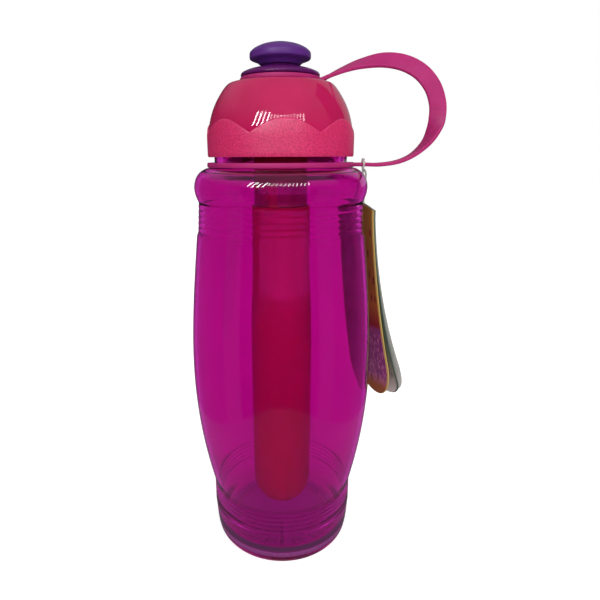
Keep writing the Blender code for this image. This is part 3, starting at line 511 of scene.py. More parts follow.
def cap_gloss():
    """Crimson copolyester, injection moulded: glossy and slightly milky."""
    material, tree, shader = finish_start("crimson_copolyester_gloss")
    place = add(tree, "ShaderNodeTexCoord").outputs["Object"]
    shader_set(shader, Transmission_Weight=0.2, IOR=1.55, Subsurface_Weight=0.25, Subsurface_Scale=0.004,
               Subsurface_Radius=(1.0, 0.25, 0.35))
    cloud = add(tree, "ShaderNodeTexNoise", {"Scale": 60.0, "Detail": 2.0}, {"Vector": place})
    hue = add(tree, "ShaderNodeValToRGB", links={"Fac": cloud.outputs["Fac"]},
              stops=((0.35, "BC1C56"), (0.65, "C4245E")))
    scuff = add(tree, "ShaderNodeTexNoise", {"Scale": 1200.0, "Detail": 3.0}, {"Vector": place})
    rough = add(tree, "ShaderNodeMapRange",
                {"From Min": 0.5, "From Max": 0.8, "To Min": 0.04, "To Max": 0.12},
                {"Value": scuff.outputs["Fac"]})
    wave = add(tree, "ShaderNodeTexNoise", {"Scale": 90.0, "Detail": 1.0}, {"Vector": place})
    bump = add(tree, "ShaderNodeBump", {"Strength": 0.1, "Distance": 0.0003}, {"Height": wave.outputs["Fac"]})
    shader_wear(tree, shader, hue, rough, bump)
    return material


def cap_matte():
    """The same plastic off a spark-eroded mould face: fine grain in relief, with painted sparkle, each
    grain's centre painted paler as a glint of light.
    """
    material, tree, shader = finish_start("crimson_copolyester_grain_painted_sparkle")
    place = add(tree, "ShaderNodeTexCoord").outputs["Object"]
    shader_set(shader, Transmission_Weight=0.15, IOR=1.55, Subsurface_Weight=0.3, Subsurface_Scale=0.004,
               Subsurface_Radius=(1.0, 0.3, 0.4))
    # Grain of 0.25 mm, drawn at 0.5 mm so that it shows
    grain = add(tree, "ShaderNodeTexVoronoi", {"Scale": 2000.0, "Randomness": 1.0}, {"Vector": place})
    # Painted sparkle: the grain's centres are painted paler, standing in for glints of light off the eroded
    # face
    hue = add(tree, "ShaderNodeValToRGB", links={"Fac": grain.outputs["Distance"]},
              stops=((0.1, "F0347E"), (0.6, "C41658")))
    fine = add(tree, "ShaderNodeTexNoise", {"Scale": 3500.0, "Detail": 2.0}, {"Vector": place})
    rough = add(tree, "ShaderNodeMapRange", {"To Min": 0.28, "To Max": 0.5}, {"Value": fine.outputs["Fac"]})
    bump = add(tree, "ShaderNodeBump", {"Strength": 0.5, "Distance": 0.00006},
               {"Height": grain.outputs["Distance"]})
    shader_wear(tree, shader, hue, rough, bump)
    return material


def stick_satin():
    """Crimson stick shell: satin, a little light scattered inside it, cloudy colour and a soft grain."""
    material, tree, shader = finish_start("crimson_stick_satin")
    place = add(tree, "ShaderNodeTexCoord").outputs["Object"]
    shader_set(shader, IOR=1.5, Subsurface_Weight=0.35, Subsurface_Scale=0.005,
               Subsurface_Radius=(1.0, 0.2, 0.3))
    cloud = add(tree, "ShaderNodeTexNoise", {"Scale": 55.0, "Detail": 3.0}, {"Vector": place})
    hue = add(tree, "ShaderNodeValToRGB", links={"Fac": cloud.outputs["Fac"]},
              stops=((0.3, "FA1866"), (0.7, "FF2270")))
    grain = add(tree, "ShaderNodeTexNoise", {"Scale": 1500.0, "Detail": 2.0}, {"Vector": place})
    rough = add(tree, "ShaderNodeMapRange", {"To Min": 0.3, "To Max": 0.5}, {"Value": grain.outputs["Fac"]})
    bump = add(tree, "ShaderNodeBump", {"Strength": 0.15, "Distance": 0.00008},
               {"Height": grain.outputs["Fac"]})
    shader_wear(tree, shader, hue, rough, bump)
    return material


def strap_elastomer():
    """Pink thermoplastic elastomer, injection moulded: satin, fine pitted skin, slightly translucent."""
    material, tree, shader = finish_start("pink_elastomer_satin")
    place = add(tree, "ShaderNodeTexCoord").outputs["Object"]
    shader_set(shader, IOR=1.48, Specular_IOR_Level=0.35, Subsurface_Weight=0.3, Subsurface_Scale=0.002,
               Subsurface_Radius=(1.0, 0.35, 0.55))
    cloud = add(tree, "ShaderNodeTexNoise", {"Scale": 120.0, "Detail": 3.0}, {"Vector": place})
    hue = add(tree, "ShaderNodeValToRGB", links={"Fac": cloud.outputs["Fac"]},
              stops=((0.3, "A01662"), (0.7, "AA1E6A")))
    pits = add(tree, "ShaderNodeTexNoise", {"Scale": 2200.0, "Detail": 2.0}, {"Vector": place})
    rough = add(tree, "ShaderNodeMapRange", {"To Min": 0.38, "To Max": 0.58}, {"Value": pits.outputs["Fac"]})
    bump = add(tree, "ShaderNodeBump", {"Strength": 0.25, "Distance": 0.00005},
               {"Height": pits.outputs["Fac"]})
    shader_wear(tree, shader, hue, rough, bump)
    return material


def spout_plastic(name, low, high, smoothest, roughest, grain_scale):
    """Purple polypropylene: satin on the pull, glossy on the flange."""
    material, tree, shader = finish_start(name)
    place = add(tree, "ShaderNodeTexCoord").outputs["Object"]
    shader_set(shader, IOR=1.49, Specular_IOR_Level=0.35, Subsurface_Weight=0.1, Subsurface_Scale=0.001)
    grain = add(tree, "ShaderNodeTexNoise", {"Scale": grain_scale, "Detail": 2.0}, {"Vector": place})
    cloud = add(tree, "ShaderNodeTexNoise", {"Scale": 150.0, "Detail": 2.0}, {"Vector": place})
    hue = add(tree, "ShaderNodeValToRGB", links={"Fac": cloud.outputs["Fac"]},
              stops=((0.3, low), (0.7, high)))
    rough = add(tree, "ShaderNodeMapRange", {"To Min": smoothest, "To Max": roughest},
                {"Value": grain.outputs["Fac"]})
    bump = add(tree, "ShaderNodeBump", {"Strength": 0.15, "Distance": 0.00004},
               {"Height": grain.outputs["Fac"]})
    shader_wear(tree, shader, hue, rough, bump)
    return material


def plain_moulded(name, low, high, roughness, transmission, ior, scale):
    """Small clear or milky pieces: silicone, nylon and gel, cloudy inside."""
    material, tree, shader = finish_start(name)
    place = add(tree, "ShaderNodeTexCoord").outputs["Object"]
    shader_set(shader, Transmission_Weight=transmission, IOR=ior)
    cloud = add(tree, "ShaderNodeTexNoise", {"Scale": scale, "Detail": 3.0}, {"Vector": place})
    hue = add(tree, "ShaderNodeValToRGB", links={"Fac": cloud.outputs["Fac"]},
              stops=((0.3, low), (0.7, high)))
    rough = add(tree, "ShaderNodeMapRange", {"To Min": roughness, "To Max": roughness * 1.5},
                {"Value": cloud.outputs["Fac"]})
    shader_wear(tree, shader, hue, rough)
    return material


def coated_card(name, stops, border, motif=None, motif_scale=1.0, panel=None):
    """Coated card: a ground that changes down the leaf, with a border line. Where they are given, rows of
    small plain shapes and a panel of fine cells low on the leaf are printed on it."""
    material, tree, shader = finish_start(name)
    leaf = add(tree, "ShaderNodeUVMap", uv_map="leaf").outputs["UV"]
    split = add(tree, "ShaderNodeSeparateXYZ", links={"Vector": leaf})
    across, down = split.outputs["X"], split.outputs["Y"]
    colour = add(tree, "ShaderNodeValToRGB", links={"Fac": down}, stops=stops).outputs["Color"]
    if motif:
        seeds = add(tree, "ShaderNodeTexVoronoi", {"Scale": motif_scale, "Randomness": 0.25},
                    {"Vector": leaf})
        spot = add(tree, "ShaderNodeMath", {1: SPOT_SIZE}, {0: seeds.outputs["Distance"]},
                   operation="LESS_THAN")
        colour = add(tree, "ShaderNodeMix", {7: tint(motif)}, {0: spot.outputs[0], 6: colour},
                     data_type="RGBA").outputs[2]
    if panel:
        cells = add(tree, "ShaderNodeTexVoronoi", {"Scale": CELLS_PER_SPOT * motif_scale, "Randomness": 0.9},
                    {"Vector": leaf})
        dark = add(tree, "ShaderNodeMath", {1: CELL_LINE}, {0: cells.outputs["Distance"]},
                   operation="GREATER_THAN")
        low = add(tree, "ShaderNodeValToRGB", links={"Fac": down},
                  stops=((0.60, "000000"), (0.62, "FFFFFF"), (0.88, "FFFFFF"), (0.90, "000000")))
        share = add(tree, "ShaderNodeMath", links={0: dark.outputs[0], 1: low.outputs["Color"]},
                    operation="MULTIPLY")
        colour = add(tree, "ShaderNodeMix", {7: tint(panel)}, {0: share.outputs[0], 6: colour},
                     data_type="RGBA").outputs[2]
    middle = add(tree, "ShaderNodeMath", {1: 0.5}, {0: across}, operation="SUBTRACT")
    side = add(tree, "ShaderNodeMath", links={0: middle.outputs[0]}, operation="ABSOLUTE")
    edge = add(tree, "ShaderNodeMath", {1: BORDER_START}, {0: side.outputs[0]}, operation="GREATER_THAN")
    colour = add(tree, "ShaderNodeMix", {7: tint(border)}, {0: edge.outputs[0], 6: colour},
                 data_type="RGBA").outputs[2]
    tree.links.new(colour, shader.inputs["Base Color"])
    fibre = add(tree, "ShaderNodeTexNoise", {"Scale": 260.0, "Detail": 4.0}, {"Vector": leaf})
    rough = add(tree, "ShaderNodeMapRange", {"To Min": 0.3, "To Max": 0.5}, {"Value": fibre.outputs["Fac"]})
    bump = add(tree, "ShaderNodeBump", {"Strength": 0.1, "Distance": 0.00005},
               {"Height": fibre.outputs["Fac"]})
    shader_wear(tree, shader, None, rough, bump)
    return material


MAGENTA = clear_magenta()
CAP_GLOSS = cap_gloss()
CAP_MATTE = cap_matte()
STICK_SATIN = stick_satin()
STRAP_PINK = strap_elastomer()
HEAD_PURPLE = spout_plastic("purple_polypropylene_satin", "501C72", "58227A", smoothest=0.35, roughest=0.5,
                            grain_scale=1800.0)
FLANGE_PURPLE = spout_plastic("plum_polypropylene_gloss", "4E1050", "581458", smoothest=0.1, roughest=0.2,
                              grain_scale=700.0)
SILICONE = plain_moulded("clear_silicone_ring", "D8CFD0", "E4DCDD", roughness=0.4, transmission=0.5,
                         ior=1.43, scale=200.0)
NYLON = plain_moulded("clear_nylon_filament", "D8D6D2", "E6E4E0", roughness=0.25, transmission=0.6,
                      ior=1.53, scale=300.0)
GEL = plain_moulded("frozen_gel_cloudy", "B82A5C", "CC3C6C", roughness=0.5, transmission=0.3,
                    ior=1.34, scale=70.0)
FRONT_CARD = coated_card(
    "amber_printed_card",
    stops=((0.0, "9A6E30"), (0.30, "8E5A26"), (0.48, "A8602A"), (0.60, "8E1E22"), (0.66, "C86AA4"),
           (0.88, "C86CA6"), (0.95, "A85A2C")),
    border="D9B766", motif="5E2420", motif_scale=9.0, panel="8A3A7C")
# The teal leaf's ground pales down the leaf as printed tone, and its last stretch is painted near white as
# painted light on the leaf's shaded end
MIDDLE_CARD = coated_card(
    "teal_printed_card_painted_light_foot",
    stops=((0.0, "2E5A54"), (0.5, "2E5A54"), (0.75, "767C64"), (0.88, "9A9088"), (1.0, "E6D8D8")),
    border="5C6C60", motif="4A6A60", motif_scale=7.0)
BACK_CARD = coated_card("white_card_plain", stops=((0.0, "F1F0EC"), (1.0, "EDEBE8")), border="E4E2DC")


# Bottle: one clear shell and the neck's thread

def make_bottle():
    outer = arc(NECK - SOFT_EDGE, NECK_TOP - SOFT_EDGE, SOFT_EDGE, 90, 0, 5)
    outer += [(NECK, COLLAR_TOP + EDGE), (NECK + EDGE, COLLAR_TOP)]
    outer += [(COLLAR - EDGE, COLLAR_TOP), (COLLAR, COLLAR_TOP - EDGE)]
    outer += [(COLLAR, SHOULDER_TOP + FINE_EDGE), (COLLAR + FINE_EDGE, SHOULDER_TOP)]
    outer += [(SHOULDER_RIM, SHOULDER_TOP)]
    outer += shoulder_down(0.0)
    outer += beads_down(TOP_BAND_TOP, TOP_BAND, TOP_BAND_FOOT, TOP_RIB_DEPTH)
    outer += barrel_down(0.0)
    outer += beads_down(BASE_BAND_TOP, BASE_BAND, BASE_BAND, RIB_DEPTH)
    outer += smooth_through(HEEL, 8)
    outer += BASE_GROOVE
    inner = arc(NECK_BORE + RIM_EDGE, NECK_TOP - RIM_EDGE, RIM_EDGE, 90, 180, 4)
    inner += [(NECK_BORE, SHOULDER_TOP - WALL + NECK_BEND), (NECK_BORE + NECK_BEND, SHOULDER_TOP - WALL)]
    inner += shoulder_down(WALL)
    inner += beads_down(TOP_BAND_TOP, TOP_BAND, TOP_BAND_FOOT, depth=0.0, inset=BAND_WALL, steps=8)
    inner += barrel_down(WALL)
    inner += beads_down(BASE_BAND_TOP, BASE_BAND, BASE_BAND, INNER_RIB_DEPTH, inset=BAND_WALL, steps=8)
    inner += arc(FLOOR_EDGE - FLOOR_BEND, FLOOR + FLOOR_BEND, FLOOR_BEND, 0, -90, 10)
    inner += [(0.0, FLOOR)]
    shell = finished("bottle_shell", spun(inner[::-1] + outer), MAGENTA, "bottle", "bottle_body", sharp=60.0)
    ridge = thread_ridge(NECK, NECK + THREAD_HEIGHT, THREAD_START)
    finished("bottle_thread", ridge, MAGENTA, "bottle")


# Cap: glossy dome, grained skirt, thread, the stick's socket and the gasket

def dome_down():
    points = [(radius, CAP_TOP - drop) for radius, drop in CAP_DOME]
    return smooth_through(points + [(CAP_SIDE, CAP_SIDE_TOP)], 8)


def dome_radius(height, outline):
    """The dome's radius at a height, from its outline."""
    for (upper_r, upper_z), (lower_r, lower_z) in zip(outline, outline[1:]):
        if lower_z <= height <= upper_z:
            share = (upper_z - height) / max(upper_z - lower_z, 1e-9)
            return upper_r + (lower_r - upper_r) * share
    return CAP_SIDE


def scallop_top(angle):
    """The skirt's wavy edge: broad rounded peaks and narrow valleys, one peak turned nearly to the front."""
    wave = abs(math.cos(SCALLOPS / 2 * (angle - SCALLOP_PEAK_AT)))
    return SCALLOP_LOW + SCALLOP_RISE * wave


def make_dome():
    outer = [(STEM + SEAT_GAP, CAP_TOP), (CAP_FLAT, CAP_TOP)] + dome_down()
    outer += [(CAP_SIDE, CAP_BOTTOM + CAP_LIP), (CAP_SIDE - EDGE, CAP_BOTTOM + SEAT_GAP)]
    inner = [(CAP_BORE, CAP_BOTTOM + SEAT_GAP), (CAP_BORE, CAP_BORE_TOP)]
    inner += [(SEAL_BORE, CAP_BORE_TOP + SEAL_SLOPE), (SEAL_BORE, CAP_LAND), (NECK_BORE - EDGE, CAP_LAND)]
    inner += [(radius - CAP_WALL, CAP_TOP - drop - CAP_PLATE) for radius, drop in reversed(INNER_DOME)]
    inner += [(STEM + SEAT_GAP, CAP_PLATE_LOW)]
    dome = finished("cap_dome", spun(outer + inner, ring=True), CAP_GLOSS, "cap", "cap_shell")


def make_skirt():
    """Spun as a flat ring whose radius counts the profile's rows, which are then put in their places."""
    bm = bmesh.new()
    loop = [bm.verts.new((1 + i, 0, 0)) for i in range(len(SKIRT_PROFILE))]
    edges = [bm.edges.new((loop[i], loop[(i + 1) % len(loop)])) for i in range(len(loop))]
    bmesh.ops.spin(bm, geom=loop + edges, axis=(0, 0, 1), cent=(0, 0, 0), angle=2 * math.pi,
                   steps=SKIRT_ROUND, use_merge=True)
    outline = dome_down()
    for vert in bm.verts:
        angle = math.atan2(vert.co.y, vert.co.x)
        index = round(math.hypot(vert.co.x, vert.co.y)) - 1
        share, proud = SKIRT_PROFILE[index]
        height = CAP_BOTTOM + (scallop_top(angle) - CAP_BOTTOM) * share
        radius = dome_radius(height, outline) + proud - (EDGE if index == 0 else 0.0)
        vert.co = (radius * math.cos(angle), radius * math.sin(angle), height)
    finished("cap_skirt", bm, CAP_MATTE, "cap", "cap_shell", sharp=50.0)


def make_socket():
    """Rows at the windows' and slots' edges, their faces taken out, then a wall."""
    levels = [SOCKET_BOTTOM, SLOT_LOW, SLOT_HIGH, WINDOW_LOW, WINDOW_HIGH, CAP_PLATE_LOW + FINE_EDGE]
    bm = spun([(SOCKET, height) for height in levels], steps=SOCKET_ROUND)
    gone = []
    for face in bm.faces:
        middle = face.calc_center_median()
        turn = math.degrees(math.atan2(middle.y, middle.x)) % 360
        in_window = WINDOW_LOW < middle.z < WINDOW_HIGH and abs(turn % 90 - 45) < WINDOW_HALF_TURN
        half = (turn + SLOT_TURN) % 180
        in_run = SLOT_LOW < middle.z < SLOT_HIGH and half < SLOT_RUN
        in_entry = middle.z < SLOT_HIGH and SLOT_ENTRY < half < SLOT_RUN
        if in_window or in_run or in_entry:
            gone.append(face)
    bmesh.ops.delete(bm, geom=gone, context="FACES")
    bmesh.ops.recalc_face_normals(bm, faces=bm.faces)
    bmesh.ops.solidify(bm, geom=bm.faces[:], thickness=SOCKET_WALL)
    finished("stick_socket", bm, CAP_GLOSS, "cap", "cap_shell")


def make_gasket():
    low = NECK_TOP + SEAT_GAP
    section = arc(NECK_BORE + GASKET_REACH, low + GASKET_HALF, GASKET_HALF, 0, 360, 16)[:-1]
    section = [(r + math.copysign(GASKET_SPREAD, r - NECK_BORE - GASKET_REACH), z) for r, z in section]
    ring = finished("gasket_ring", spun(section, ring=True), SILICONE, "seal", "cap_gasket")


def make_cap():
    make_dome()
    make_skirt()
    ridge = thread_ridge(CAP_BORE, CAP_BORE - THREAD_HEIGHT, THREAD_START - THREAD_LAP)
    finished("cap_thread", ridge, CAP_GLOSS, "cap", "cap_shell")
    make_socket()
    make_gasket()


# Spout: flange with its hollow stem and tube, pin on three spokes, and the sliding pull

def make_flange():
    outline = [
        (SPOUT_BORE, TUBE_TOP - FINE_EDGE), (SPOUT_BORE + FINE_EDGE, TUBE_TOP), (TUBE - FINE_EDGE, TUBE_TOP),
        (TUBE + BEAD, TUBE_TOP - BEAD), (TUBE + BEAD, BEAD_LOW), (TUBE, BEAD_FOOT),
        (TUBE, FLANGE_TOP + FINE_EDGE), (TUBE + FINE_EDGE, FLANGE_TOP), (FLANGE_WAIST, FLANGE_TOP),
    ]
    slope = [(radius, FLANGE_TOP - drop) for radius, drop in FLANGE_SLOPE]
    outline += smooth_through(slope + [(FLANGE, FLANGE_BROW)], 8)
    outline += arc(FLANGE - SOFT_EDGE, FLANGE_LOW + SOFT_EDGE, SOFT_EDGE, 0, -90, 5)
    outline += [(STEM + FINE_EDGE, FLANGE_LOW), (STEM, FLANGE_LOW - FINE_EDGE), (STEM, STEM_TOP),
                (STEM + STEM_LIP, STEM_TOP), (STEM + STEM_LIP, STEM_LIP_EDGE), (STEM, STEM_FOOT),
                (SPOUT_BORE, STEM_FOOT)]
    flange = finished("spout_flange", spun(outline, ring=True), FLANGE_PURPLE, "cap", "spout_base")


def make_pin():
    foot = STEM_TOP - PIN_DROP
    tip = arc(PIN - PIN_EDGE, PIN_TIP - PIN_EDGE, PIN_EDGE, 90, 0, 5)
    bm = spun([(0.0, PIN_TIP)] + tip + [(PIN, foot), (0.0, foot)], steps=PIN_ROUND)
    for i in range(SPOKES):
        turn = 2 * math.pi * i / SPOKES + SPOKE_TURN
        soft_block(bm, SPOKE, (SPOKE[0] / 2, 0, foot + PIN_DROP), turn, FINE_EDGE)
    finished("spout_pin", bm, FLANGE_PURPLE, "cap", "spout_base")


def make_pull():
    """The sliding head: its lip stops on the tube's bead at the end of its travel."""
    hole = PIN + SEAT_GAP
    bore = TUBE + SEAT_GAP
    wide_bore = TUBE + BEAD + SEAT_GAP
    lip_top = BEAD_FOOT - VALVE_TRAVEL - SEAT_GAP
    crown = [(radius, HEAD_TOP - drop) for radius, drop in HEAD_CROWN]
    hollow = [(radius, HEAD_LOW + rise) for radius, rise in HEAD_HOLLOW]
    outline = [(hole, HEAD_TOP - EDGE), (hole + EDGE, HEAD_TOP)]
    outline += smooth_through(crown + [(HEAD - EDGE, HEAD_RIM_TOP)], 8)
    outline += smooth_through([(HEAD, HEAD_RIM_TOP - HEAD_EDGE), (HEAD, HEAD_RIM_LOW + HEAD_EDGE),
                               (HEAD - HEAD_EDGE, HEAD_RIM_LOW)] + hollow, 6)
    outline += [(HEAD_FOOT, HEAD_LOW), (bore, HEAD_LOW), (bore, lip_top), (wide_bore, lip_top + EDGE),
                (wide_bore, TUBE_TOP + SEAT_GAP), (hole, TUBE_TOP + SEAT_GAP)]
    head = finished("spout_pull", spun(outline, ring=True), HEAD_PURPLE, "valve", "spout_valve", sharp=50.0)


# Freezer stick: closed shell and its plug with two lugs

def stick_outline(inset):
    side = smooth_through([(radius - inset, STICK_TOP - drop) for radius, drop in STICK_TAPER], 8)
    reach = STICK - inset
    end = arc(0.0, 0.0, 1.0, 0, -90, 16)
    return side + [(reach * x ** STICK_BLUNTNESS if x > 1e-6 else 0.0, STICK_END + reach * z) for x, z in end]


def make_stick():
    bm = spun(stick_outline(STICK_WALL)[::-1] + stick_outline(0.0), steps=STICK_ROUND)
    finished("stick_shell", bm, STICK_SATIN, "stick", "stick_tube")


def make_plug():
    spigot = SOCKET - SOCKET_WALL - PLAY
    recess = spigot - SPIGOT_WALL
    skirt = STICK_TOP_RADIUS - STICK_WALL - SEAT_GAP
    top = PLUG_TOP + SPIGOT_HEIGHT
    outline = [
        (0.0, PLUG_TOP + PLUG_FLOOR), (recess, PLUG_TOP + PLUG_FLOOR), (recess, top - FINE_EDGE),
        (recess + FINE_EDGE, top), (spigot - RIM_EDGE, top), (spigot, top - RIM_EDGE), (spigot, PLUG_TOP),
        (STICK_TOP_RADIUS - EDGE, PLUG_TOP), (STICK_TOP_RADIUS, PLUG_TOP - EDGE),
        (STICK_TOP_RADIUS, STICK_TOP + SEAT_GAP), (skirt, STICK_TOP + SEAT_GAP),
        (skirt, STICK_TOP - PLUG_SKIRT), (0.0, STICK_TOP - PLUG_SKIRT),
    ]
    bm = spun(outline, steps=STICK_ROUND)
    foot = spigot - LUG_ROOT
    reach = SOCKET - SEAT_GAP
    middle = ((foot + reach) / 2, 0, LUG_LEVEL + LUG_HEIGHT / 2)
    for i in range(2):
        soft_block(bm, (reach - foot, LUG_WIDTH, LUG_HEIGHT), middle, math.pi * i, EDGE)
    finished("stick_plug_smooth", bm, STICK_SATIN, "stick", "stick_plug")


# Carry strap: twisted ribbon and its two rings

def rounded_rectangle(half_wide, half_thick, edge, steps=4):
    corners = ((1, 1, 0), (-1, 1, 90), (-1, -1, 180), (1, -1, 270))
    points = []
    for sx, sy, start in corners:
        points += arc(sx * (half_wide - edge), sy * (half_thick - edge), edge, start, start + 90, steps)
    return points


def flat_ring(inner, outer, low, high, edge):
    middle = ((inner + outer) / 2, (low + high) / 2)
    section = rounded_rectangle((outer - inner) / 2, (high - low) / 2, edge)
    return spun([(middle[0] + x, middle[1] + z) for x, z in section], ring=True, steps=RING_ROUND)


def make_ribbon():
    """Extruded straight up, a row for each point of the route, then put on the route and tilted by rows."""
    route = smooth_through(STRAP_ROUTE, 10)
    section = rounded_rectangle(STRAP_WIDTH / 2, STRAP_THICKNESS / 2, SOFT_EDGE)
    bm = bmesh.new()
    ring = [bm.verts.new((x, y, 0)) for x, y in section]
    edges = [bm.edges.new((ring[i - 1], ring[i])) for i in range(len(ring))]
    for _ in route[1:]:
        made = bmesh.ops.extrude_edge_only(bm, edges=edges)["geom"]
        edges = [g for g in made if isinstance(g, bmesh.types.BMEdge)]
        bmesh.ops.translate(bm, verts=[g for g in made if isinstance(g, bmesh.types.BMVert)], vec=(0, 0, 1.0))
    bmesh.ops.holes_fill(bm, edges=[e for e in bm.edges if e.is_boundary])
    front = Vector((0, -1, 0))
    for vert in bm.verts:
        i = min(round(vert.co.z), len(route) - 1)
        here = Vector((route[i][0], 0, route[i][1]))
        ahead = Vector(route[min(i + 1, len(route) - 1)][:2])
        behind = Vector(route[max(i - 1, 0)][:2])
        run = (ahead - behind).normalized()
        flat = Vector((-run.y, 0, run.x))
        tilt = math.radians(route[i][2])
        wide = math.cos(tilt) * flat + math.sin(tilt) * front
        thick = -math.sin(tilt) * flat + math.cos(tilt) * front
        vert.co = here + vert.co.x * wide + vert.co.y * thick
    ribbon = finished("strap_ribbon", bm, STRAP_PINK, "strap", "carry_strap", sharp=60.0)


def make_strap():
    make_ribbon()
    rings = (("strap_top_ring", STEM + PLAY, TOP_RING, TOP_RING_LOW, TOP_RING_HIGH, SOFT_EDGE),
             ("strap_neck_ring", COLLAR + PLAY, NECK_RING, NECK_RING_LOW, NECK_RING_HIGH, NECK_RING_EDGE))
    for name, *sizes in rings:
        ring = finished(name, flat_ring(*sizes), STRAP_PINK, "strap", "carry_strap", sharp=60.0)


# Swing tag: three curling cards with a punched hole

def near_hole(point, reach):
    """Whether a point of the flat grid is near the hole, in shares of the leaf across and down."""
    return abs(point.x) < reach[0] and abs(0.5 - point.y - HOLE_DOWN) < reach[1]


def flat_leaf():
    """A unit grid from the head, at +Y, to the foot, with a round hole, and its own chart."""
    bm = bmesh.new()
    bmesh.ops.create_grid(bm, x_segments=TAG_COLUMNS, y_segments=TAG_ROWS, size=0.5)
    gone = [face for face in bm.faces if near_hole(face.calc_center_median(), HOLE_CELLS)]
    bmesh.ops.delete(bm, geom=gone, context="FACES")
    square = [e for e in bm.edges if e.is_boundary and all(
        near_hole(v.co, HOLE_REACH) and abs(v.co.y) < GRID_EDGE for v in e.verts)]
    rim = bmesh.ops.create_circle(bm, segments=len(square), radius=1.0)["verts"]
    for vert in rim:
        vert.co = Vector((vert.co.x * TAG_HOLE / TAG_HOLE_WIDTH,
                          0.5 - HOLE_DOWN + vert.co.y * TAG_HOLE / TAG_LENGTH, 0))
    circle = list({e for v in rim for e in v.link_edges})
    bmesh.ops.bridge_loops(bm, edges=square + circle)
    chart = bm.loops.layers.uv.new("leaf")
    for face in bm.faces:
        for corner in face.loops:
            corner[chart].uv = (corner.vert.co.x + 0.5, 0.5 - corner.vert.co.y)
    return bm


def make_leaf(name, first, slope, curl, foot, finish, slot):
    """Gives the flat leaf its outline, hangs it from the hinge and curls it outwards."""
    bm = flat_leaf()
    turn = Matrix.Rotation(math.radians(TAG_TURN - 90), 3, "Z")
    crown = (TAG_ROUND ** -0.5 - 1) * (1 - foot) * TAG_LENGTH
    for vert in bm.verts:
        down = 0.5 - vert.co.y
        side = 2 * vert.co.x
        half = (TAG_HEAD_WIDTH + TAG_WIDENING * down ** TAG_WIDENING_POWER) / 2
        rounding = max(0.0, (down - foot) / (1 - foot))
        half *= math.sqrt(1 - TAG_ROUND * rounding ** 2)
        outwards = max(0.0, abs(side) - TAG_CORNER_START) / (1 - TAG_CORNER_START)
        corner = max(0.0, 1 - down / TAG_CORNER_SHARE) * outwards
        tip = (TAG_TIP - crown * side * side) * rounding
        below = TAG_LENGTH * down + tip + TAG_CORNER * corner - TAG_TOP
        flare = max(0.0, below)
        place = Vector((side * half, first + slope * flare + curl * flare * flare, -below - TAG_HOLE_DROP))
        vert.co = turn @ place + TAG_PIVOT
    bm.normal_update()
    bmesh.ops.recalc_face_normals(bm, faces=bm.faces)
    bmesh.ops.solidify(bm, geom=bm.faces[:], thickness=TAG_THICKNESS)
    finished(name + "_card", bm, finish, "tag", name)


make_bottle()
make_cap()
make_flange()
make_pin()
make_pull()
make_stick()
make_plug()
make_strap()
CARDS = ((FRONT_CARD, "amber_card"), (MIDDLE_CARD, "teal_card"), (BACK_CARD, "white_card"))
for leaf, (card, card_slot) in zip(TAG_LEAVES, CARDS):
    make_leaf(*leaf, card, card_slot)

for node, finish in (("freezer_gel", GEL), ("tag_loop", NYLON)):
    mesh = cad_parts[node].data
    mesh.materials.clear()
    mesh.materials.append(finish)


# Studio

def stage_card(name, bm, strength):
    """A card that only reflections see, as a studio's flags and panels round a clear bottle."""
    card = placed(name, bm)
    material = bpy.data.materials.new(name)
    material.use_nodes = True
    tree = material.node_tree
    glow = add(tree, "ShaderNodeEmission", {"Strength": strength, "Color": WHITE})
    tree.links.new(glow.outputs[0], tree.nodes["Material Output"].inputs["Surface"])
    card.data.materials.append(material)
    card.visible_camera = False
    card.visible_diffuse = False
    card.visible_transmission = False
    card.visible_shadow = False


def swept(bm, start, sweep, low, high, radius, shift=0.0, steps=24):
    """Adds part of an upright drum: bearings in degrees from the front, the top shifted sideways."""
    verts = [bm.verts.new((0, -radius, low)), bm.verts.new((shift, -radius, high))]
    edge = bm.edges.new(verts)
    bmesh.ops.rotate(bm, verts=verts, cent=(0, 0, 0), matrix=Matrix.Rotation(math.radians(start), 3, "Z"))
    bmesh.ops.spin(bm, geom=verts + [edge], axis=(0, 0, 1), cent=(0, 0, 0), angle=math.radians(sweep),
                   steps=steps)


def curved_card(name, start, end, low, high, radius, strength):
    """A card between two bearings in degrees from the front."""
    bm = bmesh.new()
    swept(bm, start, end - start, low, high, radius)
    stage_card(name, bm, strength)


def lamp_slats(name, count, start, end, low, high, radius, share, lean, strength):
    """A row of light slats in front, leaning a little, whose glints run along the shoulder and the cap."""
    bm = bmesh.new()
    pitch = (end - start) / count
    for i in range(count):
        swept(bm, start + pitch * i, pitch * share, low, high, radius, radius * math.radians(lean), steps=2)
    stage_card(name, bm, strength)


def soft_panel(name, power, size, place):
    """A square soft lamp that faces the bottle and isn't mirrored in its opaque pieces."""
    light = bpy.data.lights.new(name, "AREA")
    light.energy = power
    light.size = size
    lamp = bpy.data.objects.new(name, light)
    lamp.location = place
    lamp.rotation_euler = (LAMP_AIM - lamp.location).to_track_quat("-Z", "Y").to_euler()
    lamp.visible_glossy = False
    bpy.context.scene.collection.objects.link(lamp)


def straight_view(tree, share):
    """1 where the camera sees a surface directly, a share of it through clear plastic, 0 for rays that light
    a surface. Also whether the ray is a reflection."""
    path = add(tree, "ShaderNodeLightPath")
    through = add(tree, "ShaderNodeMath", {1: share}, {0: path.outputs["Is Transmission Ray"]},
                  operation="MULTIPLY")
    seen = add(tree, "ShaderNodeMath", links={0: path.outputs["Is Camera Ray"], 1: through.outputs[0]},
               operation="MAXIMUM")
    first = add(tree, "ShaderNodeMath", {1: 0.5}, {0: path.outputs["Diffuse Depth"]}, operation="LESS_THAN")
    view = add(tree, "ShaderNodeMath", links={0: seen.outputs[0], 1: first.outputs[0]}, operation="MULTIPLY")
    return view.outputs[0], path.outputs["Is Glossy Ray"]


